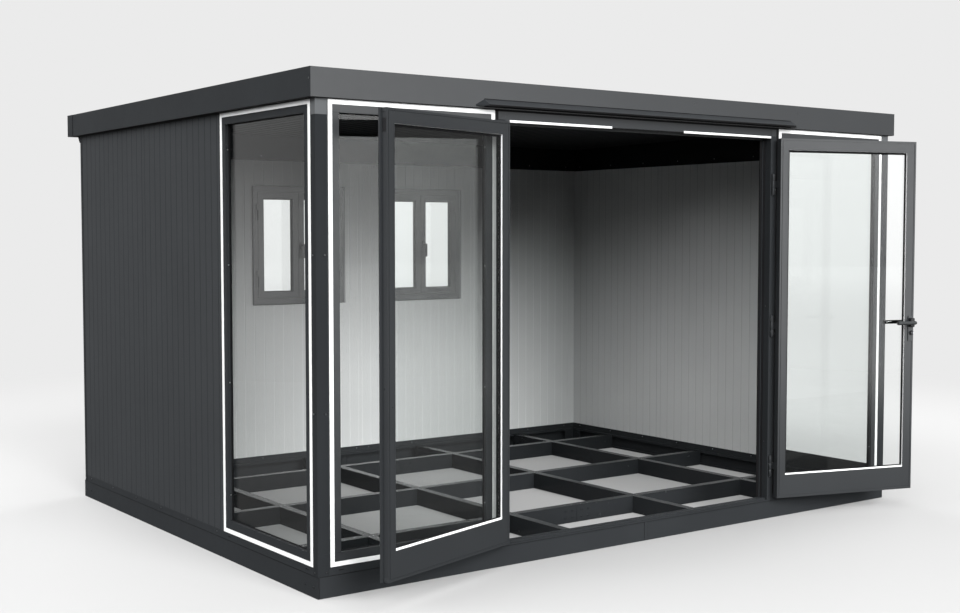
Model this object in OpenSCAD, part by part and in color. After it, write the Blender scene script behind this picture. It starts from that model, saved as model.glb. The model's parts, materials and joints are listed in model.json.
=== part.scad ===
// Garden office pod: a flat-fronted insulated garden room on an open steel floor frame.
// Millimetres. The origin is on the ground, under the middle of the middle floor beam.
// +X runs to the right along the front, +Y to the back, +Z up. The front wall faces -Y.

/* [Overall size] */
// Length of the front wall, outside to outside
pod_width = 4040; // [3700:10:4600]
// Depth of the pod, front wall face to back wall face
pod_depth = 3010; // [2700:10:3500]
// Height from the ground to the top of the fascia
pod_height = 2400; // [2350:10:2700]
// Thickness of the walls
wall_t = 40; // [36:1:60]

/* [Floor frame] */
// Height of the floor channels
base_h = 100; // [80:1:150]
// Flange width of the outer channels
rail_flange = 60; // [50:1:80]
// Flange width of the inner beams and joists
joist_flange = 50; // [30:1:60]
// Depth of the lips on the channel flanges
channel_lip = 14; // [8:1:20]
// Sheet thickness of the channels
channel_t = 3; // [2:0.5:4]
// Spacing of the floor beams, front to back
beam_pitch = 950; // [700:1:1000]
// Distance of the middle beam behind the middle of the plan
beam_offset = 50; // [-60:1:80]
// Spacing of the floor joists, side to side
joist_pitch = 921; // [700:1:1000]
// Length of the plate that joins two channel halves
splice_length = 220; // [120:10:300]
// Gap left between two joined channel halves
splice_gap = 2; // [1:1:5]

/* [Walls] */
// Height of the tracks and sills under the walls
track_h = 40; // [30:1:60]
// Sheet thickness of the tracks
track_t = 2; // [1:0.5:3]
// Width of one wall panel, joint to joint
panel_w = 1000; // [700:10:1100]
// Depth of the head track on the inner face of the walls
head_track_h = 112; // [60:1:140]
// Distance that the head track stands proud of the walls
head_track_out = 12; // [8:1:40]

/* [Posts and glazing] */
// Width of a corner post on the front
post_w = 60; // [50:1:90]
// Wall thickness of posts, jambs and header
post_t = 3; // [2:0.5:4]
// Width of a side glazing unit
side_glazing_w = 942; // [700:1:1050]
// Face width of the fixed glazing frames
glazing_face = 62; // [45:1:80]
// Width of the pale trim strip
trim_w = 21; // [12:1:30]
// Distance of the trim strip from the edge of its frame
trim_inset = 5; // [2:1:10]
// Distance that the trim strip stands proud of the frame
trim_proud = 2; // [1:0.5:4]
// Thickness of the double glazing
glass_t = 14; // [12:1:18]
// Depth of the grooves that hold the glass
glass_cover = 10; // [6:1:14]
// Thickness of the beads inside the fixed glazing
glazing_bead = 4; // [3:0.5:6]
// Width of the bevel along the glazing beads
bead_bevel = 5; // [2:0.5:8]
// Radius of the outer edge of the back corner posts
post_round = 14; // [6:1:20]

/* [Doors] */
// Clear width of the doorway between the jambs
doorway_w = 1914; // [1600:2:2300]
// Width of a door jamb on the front
jamb_w = 61; // [45:1:120]
// Height of the door header under the roof
header_h = 55; // [40:1:120]
// Height of the threshold above the floor channels
threshold_h = 18; // [10:1:22]
// Clearance above and below a door leaf
leaf_gap = 7; // [5:1:12]
// Clearance between the edge of a leaf and its jamb
jamb_gap = 7; // [5:1:12]
// Clearance between the two closed leaves
meeting_gap = 8; // [6:1:14]
// Thickness of a door leaf
leaf_t = 38; // [34:1:48]
// Width of the lip along the meeting edge of a leaf
leaf_lip = 12; // [6:1:20]
// Thickness of that lip
leaf_lip_t = 8; // [4:1:12]
// Width of the leaf stiles
stile_w = 50; // [40:1:80]
// Distance of the shadow groove from the edges of a leaf
leaf_groove_in = 11; // [8:1:14]
// Height of the top rail of a leaf
top_rail_h = 64; // [50:1:90]
// Height of the bottom rail of a leaf
bottom_rail_h = 134; // [90:1:180]
// Distance of the hinge axis outside the edge of its leaf
hinge_side = 20; // [14:1:30]
// Distance of the hinge axis in front of the leaf
hinge_out = 9; // [8:1:16]
// Outer radius of the hinge knuckles
knuckle_r = 7; // [6:0.5:8]
// Radius of the hinge pins
pin_r = 3.5; // [3:0.1:4]
// Height of a hinge
hinge_h = 114; // [80:1:140]
// Height of the bottom hinge above the foot of the leaf
hinge_bottom = 183; // [120:1:300]
// Distance from the bottom hinge to the middle hinge
hinge_pitch = 817; // [600:1:900]
// Distance of the top hinge below the top of the leaf
hinge_top = 262; // [120:1:300]
// Angle that the left leaf stands open
left_open = 162; // [90:1:172]
// Angle that the right leaf stands open
right_open = 164; // [90:1:172]

/* [Lever handle] */
// Height of the lever above the ground
lever_z = 1128; // [900:1:1200]
// Length of the lever grips
lever_l = 125; // [90:1:150]
// Radius of the lever grips at the spindle
lever_r = 9; // [7:0.5:11]
// Radius of the lever grips at the tip
lever_tip_r = 7.5; // [6:0.5:9]
// Distance of the lever grips from the face of the leaf
lever_out = 48; // [40:1:60]
// Radius of the spindle
spindle_r = 5; // [4:0.5:6]

/* [Back windows] */
// Width of a back window
window_w = 700; // [500:10:900]
// Height of a back window
window_h = 806; // [500:2:1000]
// Height of the window sills above the ground
window_z = 1176; // [900:2:1300]
// Distance from the middle of the wall to the middle of a window
window_x = 498; // [400:1:900]
// Face width of the window frames
window_frame = 40; // [30:1:60]
// Face width of the window sashes
window_sash = 46; // [35:1:60]
// Width of the stop that the sashes close against
window_stop = 10; // [6:1:16]
// Height of a window hinge with its block
window_hinge_h = 112; // [80:1:130]
// Distance of the window hinges from the ends of the frame
window_hinge_end = 121; // [90:1:150]
// Height of the plate behind a window handle
handle_plate_h = 62; // [50:1:90]
// Length of a window handle
handle_l = 96; // [70:1:120]

/* [Roof] */
// Height of the fascia
fascia_h = 133; // [110:1:180]
// Roof overhang at the sides
side_overhang = 35; // [15:1:80]
// Roof overhang at the front
front_overhang = 20; // [10:1:60]
// Roof overhang at the back, up to the gutter
rear_overhang = 24; // [10:1:60]
// Sheet thickness of the fascia
fascia_t = 2.5; // [2:0.5:4]
// Width of the flange along the top of the fascia
fascia_top = 55; // [30:1:80]
// Height of the ceiling above the wall tops at the front
ceiling_rise = 82; // [70:1:100]
// Thickness of the ceiling liner
ceiling_t = 8; // [4:1:12]
// Thickness of the flat part of the roof panels
roof_t = 22; // [15:1:40]
// Fall of the roof from front to back
roof_fall = 25; // [15:1:35]
// Spacing of the roof ribs
rib_pitch = 333; // [200:1:500]
// Height of the roof ribs
rib_h = 16; // [8:1:20]
// Overhang of the roof into the gutter
roof_drip = 18; // [10:1:30]
// Width of the rear gutter
gutter_w = 82; // [60:1:100]
// Height of the folded lip at the front edge of the gutter
gutter_lip = 12; // [8:1:20]

/* [Canopy] */
// Length of the drip canopy over the doorway
canopy_l = 2200; // [1900:10:2500]
// Projection of the canopy from the fascia
canopy_out = 42; // [25:1:80]
// Height of the canopy above the bottom of the fascia, at its lip
canopy_z = 8; // [4:1:30]
// Height that the canopy slopes over its projection
canopy_rise = 34; // [15:1:60]

/* [Hidden] */

anthracite = "#45474a";
light_steel = "#c9cbca";
trim_white = "#f4f4f4";
glass_tint = "#9fb0ae";
lever_black = "#1c1c1e";

half_w = pod_width / 2;
front_y = -pod_depth / 2 - beam_offset;
back_y = pod_depth / 2 - beam_offset;
wall_top = pod_height - fascia_h;
sill_top = base_h + track_h;
panel_t = wall_t - 2 * track_t;
over = 1;

glazing_h = wall_top - sill_top;
jamb_x = doorway_w / 2 + jamb_w;
front_glazing_w = half_w - post_w - jamb_x;
side_glazing_end = front_y + wall_t + side_glazing_w;
header_z = wall_top - header_h;
panel_z = base_h + track_t;
panel_h = wall_top - panel_z;
side_panels_l = back_y - wall_t - side_glazing_end;
roof_w = pod_width + 2 * side_overhang - 2 * fascia_t;
roof_front = front_y - front_overhang + fascia_t;
roof_run = back_y + rear_overhang - roof_front;

// Height of the underside of the ceiling over the wall tops.
function ceiling_at(y) = ceiling_rise - (y - roof_front) * roof_fall / roof_run;

leaf_bottom = base_h + threshold_h + leaf_gap;
leaf_h = header_z - leaf_gap - leaf_bottom;
leaf_edge = doorway_w / 2 - jamb_gap;
leaf_w = leaf_edge - meeting_gap / 2 - leaf_lip;
axis_x = leaf_edge + hinge_side;
axis_y = front_y - hinge_out;
hinge_heights = [
  leaf_bottom + hinge_bottom, leaf_bottom + hinge_bottom + hinge_pitch,
  leaf_bottom + leaf_h - hinge_top
];
knuckle_gap = 0.6;
pin_clearance = 0.05;
strap_t = 2;
plate_t = 3;
plate_w = 26;

beam_ys = [-beam_pitch, 0, beam_pitch];
joist_xs = [-1.5 * joist_pitch, -0.5 * joist_pitch, 0.5 * joist_pitch, 1.5 * joist_pitch];

// Outline of a lipped channel: the web lies on the vertical axis, the flanges point to +.
function channel_outline(flange) = [
  [0, 0], [flange, 0], [flange, channel_lip], [flange - channel_t, channel_lip],
  [flange - channel_t, channel_t], [channel_t, channel_t], [channel_t, base_h - channel_t],
  [flange - channel_t, base_h - channel_t], [flange - channel_t, base_h - channel_lip],
  [flange, base_h - channel_lip], [flange, base_h], [0, base_h]
];

// Runs a (Y, Z) outline along +X.
module along_x(length) {
  rotate([90, 0, 90]) linear_extrude(length) children();
}

// Runs an (X, Z) outline along +Y.
module along_y(length) {
  translate([0, length, 0]) rotate([90, 0, 0]) linear_extrude(length) children();
}

// A channel along X with its web at y = 0, in two halves joined by a plate at the middle.
module spliced_channel(length, flange) {
  half = (length - splice_gap) / 2;
  for (side = [-1, 1])
    translate([side < 0 ? -length / 2 : splice_gap / 2, 0, 0])
      along_x(half) polygon(channel_outline(flange));
  translate([-splice_length / 2, channel_t, channel_t])
    cube([splice_length, channel_t, base_h - 2 * channel_t]);
}

// A hollow box section standing on z = 0, from the origin to +X and +Y.
module box_post(w, d, h, t) {
  difference() {
    cube([w, d, h]);
    translate([t, t, -over]) cube([w - 2 * t, d - 2 * t, h + 2 * over]);
  }
}

// ---------- Floor frame ----------

module base_rail_front() {
  color(anthracite) translate([0, front_y, 0])
    spliced_channel(pod_width - 2 * channel_t, rail_flange);
}

// A bottom track that is open to the top, for the panels to stand in.
module wall_track(length) {
  along_x(length) polygon([
    [0, 0], [wall_t, 0], [wall_t, track_h], [wall_t - track_t, track_h],
    [wall_t - track_t, track_t], [track_t, track_t], [track_t, track_h], [0, track_h]
  ]);
}

module base_rail_back() {
  color(anthracite) mirror([0, 1, 0]) {
    translate([0, -back_y, 0]) spliced_channel(pod_width - 2 * channel_t, rail_flange);
    translate([-half_w + wall_t, -back_y, base_h]) wall_track(pod_width - 2 * wall_t);
  }
}

module side_rail() {
  difference() {
    translate([-half_w, front_y, 0]) along_y(pod_depth) polygon(channel_outline(rail_flange));
    for (y = [front_y - over, back_y - rail_flange])
      translate([-half_w + channel_t, y, -over])
        cube([rail_flange, rail_flange + over, base_h + 2 * over]);
  }
  translate([-half_w, front_y + wall_t, base_h]) cube([wall_t, side_glazing_w, track_h]);
  translate([-half_w + wall_t, side_glazing_end, base_h]) rotate([0, 0, 90])
    wall_track(side_panels_l);
}

module base_rail_left() {
  color(anthracite) side_rail();
}

module base_rail_right() {
  color(anthracite) mirror([1, 0, 0]) side_rail();
}

// The outer beams are joined at the middle, the middle one is in one piece.
module floor_beams() {
  length = pod_width - 2 * rail_flange;
  color(anthracite) translate([0, -joist_flange / 2, 0]) {
    for (y = [beam_ys[0], beam_ys[2]])
      translate([0, y, 0]) spliced_channel(length, joist_flange);
    translate([-length / 2, beam_ys[1], 0])
      along_x(length) polygon(channel_outline(joist_flange));
  }
}

// Four lines of short joists between the beams.
module floor_joists() {
  flange = joist_flange / 2;
  stops = [
    front_y + rail_flange, beam_ys[0] - flange, beam_ys[0] + flange, beam_ys[1] - flange,
    beam_ys[1] + flange, beam_ys[2] - flange, beam_ys[2] + flange, back_y - rail_flange
  ];
  color(anthracite)
    for (x = joist_xs)
      for (bay = [0:3])
        translate([x - flange, stops[2 * bay], 0])
          along_y(stops[2 * bay + 1] - stops[2 * bay]) polygon(channel_outline(joist_flange));
}

// ---------- Front wall ----------

module front_sills() {
  color(anthracite)
    for (side = [0, 1])
      mirror([side, 0, 0]) translate([-half_w + post_w, front_y, base_h])
        cube([front_glazing_w, wall_t, track_h]);
}

module door_threshold() {
  step = threshold_h / 2;
  nose = 14;
  color(anthracite) translate([-doorway_w / 2, front_y, base_h]) along_x(doorway_w)
    polygon([[0, 0], [rail_flange, 0], [rail_flange, threshold_h], [nose, threshold_h],
      [nose, step], [0, step]]);
}

module corner_post_front_left() {
  color(anthracite) translate([-half_w, front_y, base_h])
    box_post(post_w, wall_t, wall_top - base_h, post_t);
}

module corner_post_front_right() {
  mirror([1, 0, 0]) corner_post_front_left();
}

// A square whose upper left corner is round.
module round_square(size, r) {
  translate([r, size - r]) circle(r = r, $fn = 48);
  translate([r, 0]) square([size - r, size]);
  square([size, size - r]);
}

module corner_post_back_left() {
  color(anthracite) translate([-half_w, back_y - wall_t, base_h])
    linear_extrude(wall_top - base_h) difference() {
      round_square(wall_t, post_round);
      translate([post_t, post_t]) round_square(wall_t - 2 * post_t, post_round - post_t);
    }
}

module corner_post_back_right() {
  mirror([1, 0, 0]) corner_post_back_left();
}

// A jamb with the stop that the closed leaf stands in front of.
module door_jamb_left() {
  stop_w = 16;
  stop_t = 12;
  color(anthracite) translate([-jamb_x, front_y, base_h]) {
    box_post(jamb_w, wall_t, wall_top - base_h, post_t);
    translate([0, wall_t, threshold_h]) cube([jamb_w, leaf_gap, wall_top - base_h - threshold_h]);
    translate([0, wall_t + leaf_gap, threshold_h])
      cube([jamb_w + stop_w, stop_t, wall_top - base_h - threshold_h]);
  }
}

module door_jamb_right() {
  mirror([1, 0, 0]) door_jamb_left();
}

module door_header() {
  stop_w = 14;
  stop_t = 12;
  stop_reach = doorway_w / 2 - 16;
  color(anthracite) {
    translate([-doorway_w / 2, front_y, header_z]) difference() {
      cube([doorway_w, wall_t, header_h]);
      translate([-over, post_t, post_t])
        cube([doorway_w + 2 * over, wall_t - 2 * post_t, header_h - 2 * post_t]);
    }
    translate([-doorway_w / 2, front_y + wall_t, header_z]) cube([doorway_w, leaf_gap, header_h]);
    translate([-stop_reach, front_y + wall_t + leaf_gap, header_z - stop_w])
      cube([2 * stop_reach, stop_t, header_h + stop_w]);
  }
}

module door_canopy() {
  lip = 7;
  t = 3;
  fascia_face = front_y - front_overhang;
  base = wall_top + canopy_z;
  color(anthracite) translate([-canopy_l / 2, fascia_face, base]) along_x(canopy_l)
    polygon([[0, canopy_rise], [-canopy_out, lip], [-canopy_out, 0], [-canopy_out + t, 0],
      [-canopy_out + t, lip], [0, canopy_rise - t]]);
}

// ---------- Wall panels ----------

// Insulated panels side by side along +X from the origin, with a groove at the joint.
module panel_run(length, height, joint_x) {
  groove = 3;
  difference() {
    cube([length, panel_t, height]);
    for (face = [0, panel_t])
      translate([joint_x, face, -over]) rotate([0, 0, 45])
        translate([-groove / 2, -groove / 2, 0]) cube([groove, groove, height + 2 * over]);
  }
}

module side_panels() {
  translate([-half_w + track_t + panel_t, side_glazing_end, panel_z]) rotate([0, 0, 90])
    panel_run(side_panels_l, panel_h, back_y - panel_w - side_glazing_end);
}

module left_wall_panels() {
  color(anthracite) side_panels();
}

module right_wall_panels() {
  color(anthracite) mirror([1, 0, 0]) side_panels();
}

module back_panels() {
  difference() {
    translate([-half_w + wall_t, back_y - track_t - panel_t, panel_z])
      panel_run(half_w - wall_t, panel_h, panel_w);
    translate([-window_x - window_w / 2, back_y - wall_t - over, window_z])
      cube([window_w, wall_t + 2 * over, window_h]);
  }
}

module back_wall_panels_left() {
  color(light_steel) back_panels();
}

module back_wall_panels_right() {
  color(light_steel) mirror([1, 0, 0]) back_panels();
}

// Folded track over the heads of the side and back panels.
// It is drawn as (distance from the wall, Z) and runs along +X with the wall at +Y.
module head_track(length) {
  along_x(length) polygon([
    [0, -head_track_h], [-head_track_out, -head_track_h], [-head_track_out, 0], [0, 0],
    [0, -track_t], [track_t - head_track_out, -track_t],
    [track_t - head_track_out, track_t - head_track_h], [0, track_t - head_track_h]
  ]);
}

// Head track of a side wall, with a leg that follows the fall of the ceiling.
module side_head_track() {
  room_x = half_w - wall_t;
  translate([-room_x, side_glazing_end, 0]) rotate([0, 0, 90]) head_track(side_panels_l);
  translate([-room_x, 0, 0]) along_x(track_t) polygon([
    [side_glazing_end, -track_t], [back_y - wall_t, -track_t],
    [back_y - wall_t, ceiling_at(back_y - wall_t)], [side_glazing_end, ceiling_at(side_glazing_end)]
  ]);
}

module wall_head_track() {
  room_w = pod_width - 2 * wall_t;
  color(anthracite) translate([0, 0, wall_top]) {
    translate([-room_w / 2, back_y - wall_t, 0]) {
      head_track(room_w);
      translate([0, -track_t, -track_t])
        cube([room_w, track_t, track_t + ceiling_at(back_y - wall_t)]);
    }
    side_head_track();
    mirror([1, 0, 0]) side_head_track();
  }
}

// ---------- Fixed glazing ----------

// The units are built lying along X with their outer face at y = 0, then placed.
module place_front(side) {
  mirror([side > 0 ? 1 : 0, 0, 0]) translate([-half_w + post_w, front_y, sill_top]) children();
}

module place_side(side) {
  mirror([side > 0 ? 1 : 0, 0, 0])
    translate([-half_w, side_glazing_end, sill_top]) rotate([0, 0, -90]) children();
}

// The bevel along a bead: it opens from the light at y0 to bead_bevel around it at y1.
module bevel_cut(w, h, y0, y1) {
  spread = bead_bevel * (y1 + over - y0) / (y1 - y0);
  end = y1 + over;
  intersection() {
    translate([-spread, 0, 0]) along_x(w + 2 * spread)
      polygon([[y0, 0], [y0, h], [end, h + spread], [end, -spread]]);
    translate([0, 0, -spread]) linear_extrude(h + 2 * spread)
      polygon([[0, y0], [w, y0], [w + spread, end], [-spread, end]]);
  }
}

// Cuts a light into a frame: the opening, the groove that holds the glass and a bevelled bead.
// The frame stands with its outer face at y = 0, and the glass starts at glass_y.
module light_cut(w, h, depth, glass_y) {
  bead_land = 1;
  translate([0, -over, 0]) cube([w, depth + 2 * over, h]);
  translate([-glass_cover, glass_y, -glass_cover])
    cube([w + 2 * glass_cover, glass_t, h + 2 * glass_cover]);
  bevel_cut(w, h, glass_y + glass_t + bead_land, depth);
}

// The glass of a light, with a little room to its edges in the groove.
module light_glass(w, h, glass_y) {
  edge_gap = 1;
  cover = glass_cover - edge_gap;
  translate([-cover, glass_y, -cover]) cube([w + 2 * cover, glass_t, h + 2 * cover]);
}

fixed_glass_y = wall_t - glazing_bead - glass_t;
fixed_light_h = glazing_h - 2 * glazing_face;

module glazing_frame(w) {
  difference() {
    cube([w, wall_t, glazing_h]);
    translate([glazing_face, 0, glazing_face])
      light_cut(w - 2 * glazing_face, fixed_light_h, wall_t, fixed_glass_y);
  }
}

module glazing_glass(w) {
  translate([glazing_face, 0, glazing_face])
    light_glass(w - 2 * glazing_face, fixed_light_h, fixed_glass_y);
}

module glazing_trim(w) {
  outer = w - 2 * trim_inset;
  outer_h = glazing_h - trim_inset;
  translate([trim_inset, -trim_proud, 0]) difference() {
    cube([outer, trim_proud, outer_h]);
    translate([trim_w, -over, trim_w])
      cube([outer - 2 * trim_w, trim_proud + 2 * over, outer_h - 2 * trim_w]);
  }
}

module front_glazing_frames() {
  color(anthracite) for (side = [-1, 1]) place_front(side) glazing_frame(front_glazing_w);
}

module side_glazing_frames() {
  color(anthracite) for (side = [-1, 1]) place_side(side) glazing_frame(side_glazing_w);
}

module front_glazing_glass() {
  color(glass_tint, 0.4) for (side = [-1, 1]) place_front(side) glazing_glass(front_glazing_w);
}

module side_glazing_glass() {
  color(glass_tint, 0.4) for (side = [-1, 1]) place_side(side) glazing_glass(side_glazing_w);
}

module front_glazing_trims() {
  color(trim_white) for (side = [-1, 1]) place_front(side) glazing_trim(front_glazing_w);
}

module side_glazing_trims() {
  color(trim_white) for (side = [-1, 1]) place_side(side) glazing_trim(side_glazing_w);
}

// ---------- Back windows ----------

window_proud = 4;
window_depth = wall_t + 2 * window_proud;
sash_gap = 2;
sash_d = wall_t;
sash_w = (window_w - 2 * window_frame - 3 * sash_gap) / 2;
sash_h = window_h - 2 * window_frame - 2 * sash_gap;
sash_light_w = sash_w - 2 * window_sash;
sash_light_h = sash_h - 2 * window_sash;
sash_glass_y = (sash_d - glass_t) / 2;

// Places its children at the lower left outer corner of each window, seen from inside.
module each_window() {
  for (side = [-1, 1])
    translate([side * window_x - window_w / 2, back_y - wall_t - window_proud, window_z]) children();
}

// Places its children at the lower left corner of each light of the sashes, and turns them so
// that y = 0 is the outer face.
module each_sash_light() {
  each_window()
    for (i = [0, 1])
      translate([window_frame + sash_gap + window_sash + i * (sash_w + sash_gap), sash_d,
        window_frame + sash_gap + window_sash])
        mirror([0, 1, 0]) children();
}

// A lift-off hinge of a sash: the barrel, its flap on the frame and the block over them.
module window_hinge() {
  barrel_r = 6;
  flap_w = 19;
  flap_t = 3;
  block = [26, 9, 42];
  barrel_h = window_hinge_h - block[2];
  translate([0, -barrel_r, 0]) cylinder(h = barrel_h, r = barrel_r, $fn = 48);
  translate([-flap_w, -flap_t, 0]) cube([flap_w, flap_t, window_hinge_h]);
  translate([-block[0] / 2, -block[1], barrel_h]) cube(block);
}

module back_window_frames() {
  inner_w = window_w - 2 * window_frame;
  inner_h = window_h - 2 * window_frame;
  hinge_x = window_frame + sash_gap / 2;
  color(anthracite) each_window() {
    difference() {
      cube([window_w, window_depth, window_h]);
      translate([window_frame, -over, window_frame]) cube([inner_w, sash_d + over, inner_h]);
      translate([window_frame + window_stop, -over, window_frame + window_stop])
        cube([inner_w - 2 * window_stop, window_depth + 2 * over, inner_h - 2 * window_stop]);
    }
    for (z = [window_hinge_end, window_h - window_hinge_end - window_hinge_h]) {
      translate([hinge_x, 0, z]) window_hinge();
      translate([window_w - hinge_x, 0, z]) mirror([1, 0, 0]) window_hinge();
    }
  }
}

// The left sash of each window carries the strip that covers the gap between the sashes.
module back_window_sashes() {
  lap = 9;
  lap_gap = 1;
  strip_t = 4;
  strip_z = window_frame + window_stop + sash_gap;
  color(anthracite) {
    each_sash_light() difference() {
      translate([-window_sash, 0, -window_sash]) cube([sash_w, sash_d, sash_h]);
      light_cut(sash_light_w, sash_light_h, sash_d, sash_glass_y);
    }
    each_window()
      translate([window_w / 2, sash_d, strip_z]) linear_extrude(window_h - 2 * strip_z)
        polygon([[-lap, 0], [-sash_gap / 2, 0], [-sash_gap / 2, lap_gap], [lap, lap_gap],
          [lap, strip_t], [-lap, strip_t]]);
  }
}

module back_window_glass() {
  color(glass_tint, 0.4) each_sash_light() light_glass(sash_light_w, sash_light_h, sash_glass_y);
}

// A bar with round ends in the XZ plane, from z = low to z = high.
module round_bar(w, t, low, high) {
  rotate([90, 0, 0]) linear_extrude(t) {
    translate([-w / 2, low + w / 2]) square([w, high - low - w]);
    for (z = [low + w / 2, high - w / 2])
      translate([0, z]) circle(d = w, $fn = 48);
  }
}

module back_window_handles() {
  plate_w = 24;
  plate_t = 8;
  neck_r = 7;
  neck_l = 30;
  grip_w = 16;
  grip_t = 8;
  color(anthracite)
    each_window()
      translate([window_w / 2 + sash_gap / 2 + window_sash / 2, 0, window_h / 2]) {
        round_bar(plate_w, plate_t, -handle_plate_h / 2, handle_plate_h / 2);
        rotate([90, 0, 0]) cylinder(h = neck_l + plate_t, r = neck_r, $fn = 48);
        translate([0, -neck_l - plate_t + grip_t, 0])
          round_bar(grip_w, grip_t, grip_w / 2 - handle_l, grip_w / 2);
      }
}

// ---------- Roof ----------

// Folded fascia section in (Y, Z): outer face at y = 0, the roof inside at +Y.
function fascia_outline(overhang) = [
  [0, 0], [overhang + wall_t, 0], [overhang + wall_t, fascia_t], [fascia_t, fascia_t],
  [fascia_t, fascia_h - fascia_t], [fascia_top, fascia_h - fascia_t], [fascia_top, fascia_h],
  [0, fascia_h]
];

module fascia_front() {
  length = pod_width + 2 * side_overhang - 2 * fascia_t;
  color(anthracite) translate([-length / 2, front_y - front_overhang, wall_top])
    along_x(length) polygon(fascia_outline(front_overhang));
}

module side_fascia() {
  length = front_overhang + pod_depth + rear_overhang;
  corner = front_overhang + wall_t;
  translate([-half_w - side_overhang, front_y - front_overhang, wall_top]) difference() {
    along_y(length) polygon(fascia_outline(side_overhang));
    translate([fascia_t, -over, -over])
      cube([side_overhang + wall_t + over, corner + over, fascia_t + 2 * over]);
    translate([fascia_t, -over, fascia_h - fascia_t - over])
      cube([fascia_top, fascia_top + over, fascia_t + 2 * over]);
  }
}

module fascia_left() {
  color(anthracite) side_fascia();
}

module fascia_right() {
  color(anthracite) mirror([1, 0, 0]) side_fascia();
}

// Places its children on the slope of the ceiling, which falls to the back.
module on_roof_slope(height) {
  angle = atan(roof_fall / roof_run);
  translate([0, roof_front, wall_top + ceiling_rise])
    rotate([-angle, 0, 0]) translate([-roof_w / 2, 0, height]) children();
}

module ceiling_panel() {
  color(anthracite) on_roof_slope(0) cube([roof_w, roof_run, ceiling_t]);
}

// The ribbed roof panels over the liner.
module roof_panel() {
  ribs = floor(roof_w / rib_pitch);
  foot = 34;
  crest = 14;
  color(anthracite) on_roof_slope(ceiling_t) {
    cube([roof_w, roof_run + roof_drip, roof_t]);
    for (i = [0:ribs - 1])
      translate([roof_w / 2 + (i - (ribs - 1) / 2) * rib_pitch, 0, roof_t])
        along_y(roof_run + roof_drip)
          polygon([[-foot, 0], [foot, 0], [crest, rib_h], [-crest, rib_h]]);
  }
}

// A folded box gutter with end caps. Its flange reaches over the head of the back wall.
module rear_gutter() {
  t = 3;
  cap_proud = 3;
  seat = wall_t / 2;
  leg = ceiling_rise - roof_fall + ceiling_t - 1;
  length = pod_width + 2 * side_overhang;
  flange_l = pod_width - 2 * wall_t;
  color(anthracite) translate([-length / 2, back_y + rear_overhang, wall_top]) {
    along_x(length) polygon([
      [0, 0], [gutter_w, 0], [gutter_w, fascia_h], [gutter_w - gutter_lip, fascia_h],
      [gutter_w - gutter_lip, fascia_h - t], [gutter_w - t, fascia_h - t], [gutter_w - t, t],
      [t, t], [t, leg], [0, leg]
    ]);
    translate([(length - flange_l) / 2, -rear_overhang - seat, 0])
      cube([flange_l, rear_overhang + seat + t, t]);
    for (x = [-cap_proud, length])
      translate([x, 0, 0]) cube([cap_proud, gutter_w, fascia_h]);
  }
}

// ---------- Doors ----------

// Local frame of a leaf: x runs from the hinge axis along the closed leaf, y = hinge_out is
// the outer face, and z is up. The hinge axis is the z axis.
module place_left_leaf() {
  translate([-axis_x, axis_y, 0]) rotate([0, 0, -left_open]) children();
}

module place_right_leaf() {
  mirror([1, 0, 0]) translate([-axis_x, axis_y, 0]) rotate([0, 0, -right_open]) children();
}

leaf_light_w = leaf_w - 2 * stile_w;
leaf_light_h = leaf_h - top_rail_h - bottom_rail_h;
leaf_glass_y = (leaf_t - glass_t) / 2;

// The groove that runs around the inner face of a leaf.
module leaf_groove() {
  groove_w = 3;
  groove_d = 2.5;
  a = leaf_groove_in;
  b = leaf_groove_in + groove_w;
  translate([0, leaf_t - groove_d, 0]) difference() {
    translate([a, 0, a]) cube([leaf_w - 2 * a, groove_d + over, leaf_h - 2 * a]);
    translate([b, -over, b]) cube([leaf_w - 2 * b, groove_d + 3 * over, leaf_h - 2 * b]);
  }
}

module leaf_frame() {
  translate([hinge_side, hinge_out, leaf_bottom]) {
    difference() {
      cube([leaf_w, leaf_t, leaf_h]);
      translate([stile_w, 0, bottom_rail_h])
        light_cut(leaf_light_w, leaf_light_h, leaf_t, leaf_glass_y);
      leaf_groove();
    }
    translate([leaf_w, 0, 0]) cube([leaf_lip, leaf_lip_t, leaf_h]);
  }
  for (z = hinge_heights)
    translate([0, 0, z]) leaf_knuckle();
}

// The middle knuckle of a hinge with the strap that fastens it to the edge of the leaf.
module leaf_knuckle() {
  h = hinge_h / 3 - knuckle_gap;
  difference() {
    union() {
      translate([0, 0, -h / 2]) cylinder(h = h, r = knuckle_r, $fn = 48);
      translate([0, -knuckle_r, -h / 2]) cube([hinge_side, strap_t, h]);
      translate([hinge_side - strap_t, -knuckle_r, -h / 2])
        cube([strap_t, hinge_out + knuckle_r + 18, h]);
    }
    translate([0, 0, -h / 2 - over])
      cylinder(h = h + 2 * over, r = pin_r + pin_clearance, $fn = 48);
  }
}

module leaf_glass() {
  translate([hinge_side + stile_w, hinge_out, leaf_bottom + bottom_rail_h])
    light_glass(leaf_light_w, leaf_light_h, leaf_glass_y);
}

module left_door_frame() {
  color(anthracite) place_left_leaf() leaf_frame();
}

module left_door_glass() {
  color(glass_tint, 0.4) place_left_leaf() leaf_glass();
}

module right_door_frame() {
  color(anthracite) place_right_leaf() difference() {
    leaf_frame();
    translate([lever_x, hinge_out - over, lever_z]) rotate([-90, 0, 0])
      cylinder(h = leaf_t + 2 * over, r = spindle_r + 0.5, $fn = 48);
    translate([lever_x, hinge_out - over, lever_z - cylinder_drop]) rotate([-90, 0, 0])
      cylinder(h = leaf_t + 2 * over, r = cylinder_r, $fn = 48);
  }
}

module right_door_glass() {
  color(glass_tint, 0.4) place_right_leaf() leaf_glass();
}

lever_x = hinge_side + leaf_w - stile_w / 2;
plate_size = [30, 5, 150];
rose_r = 13;
rose_h = 4;
cylinder_r = 8.5;
cylinder_drop = 62;

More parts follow.
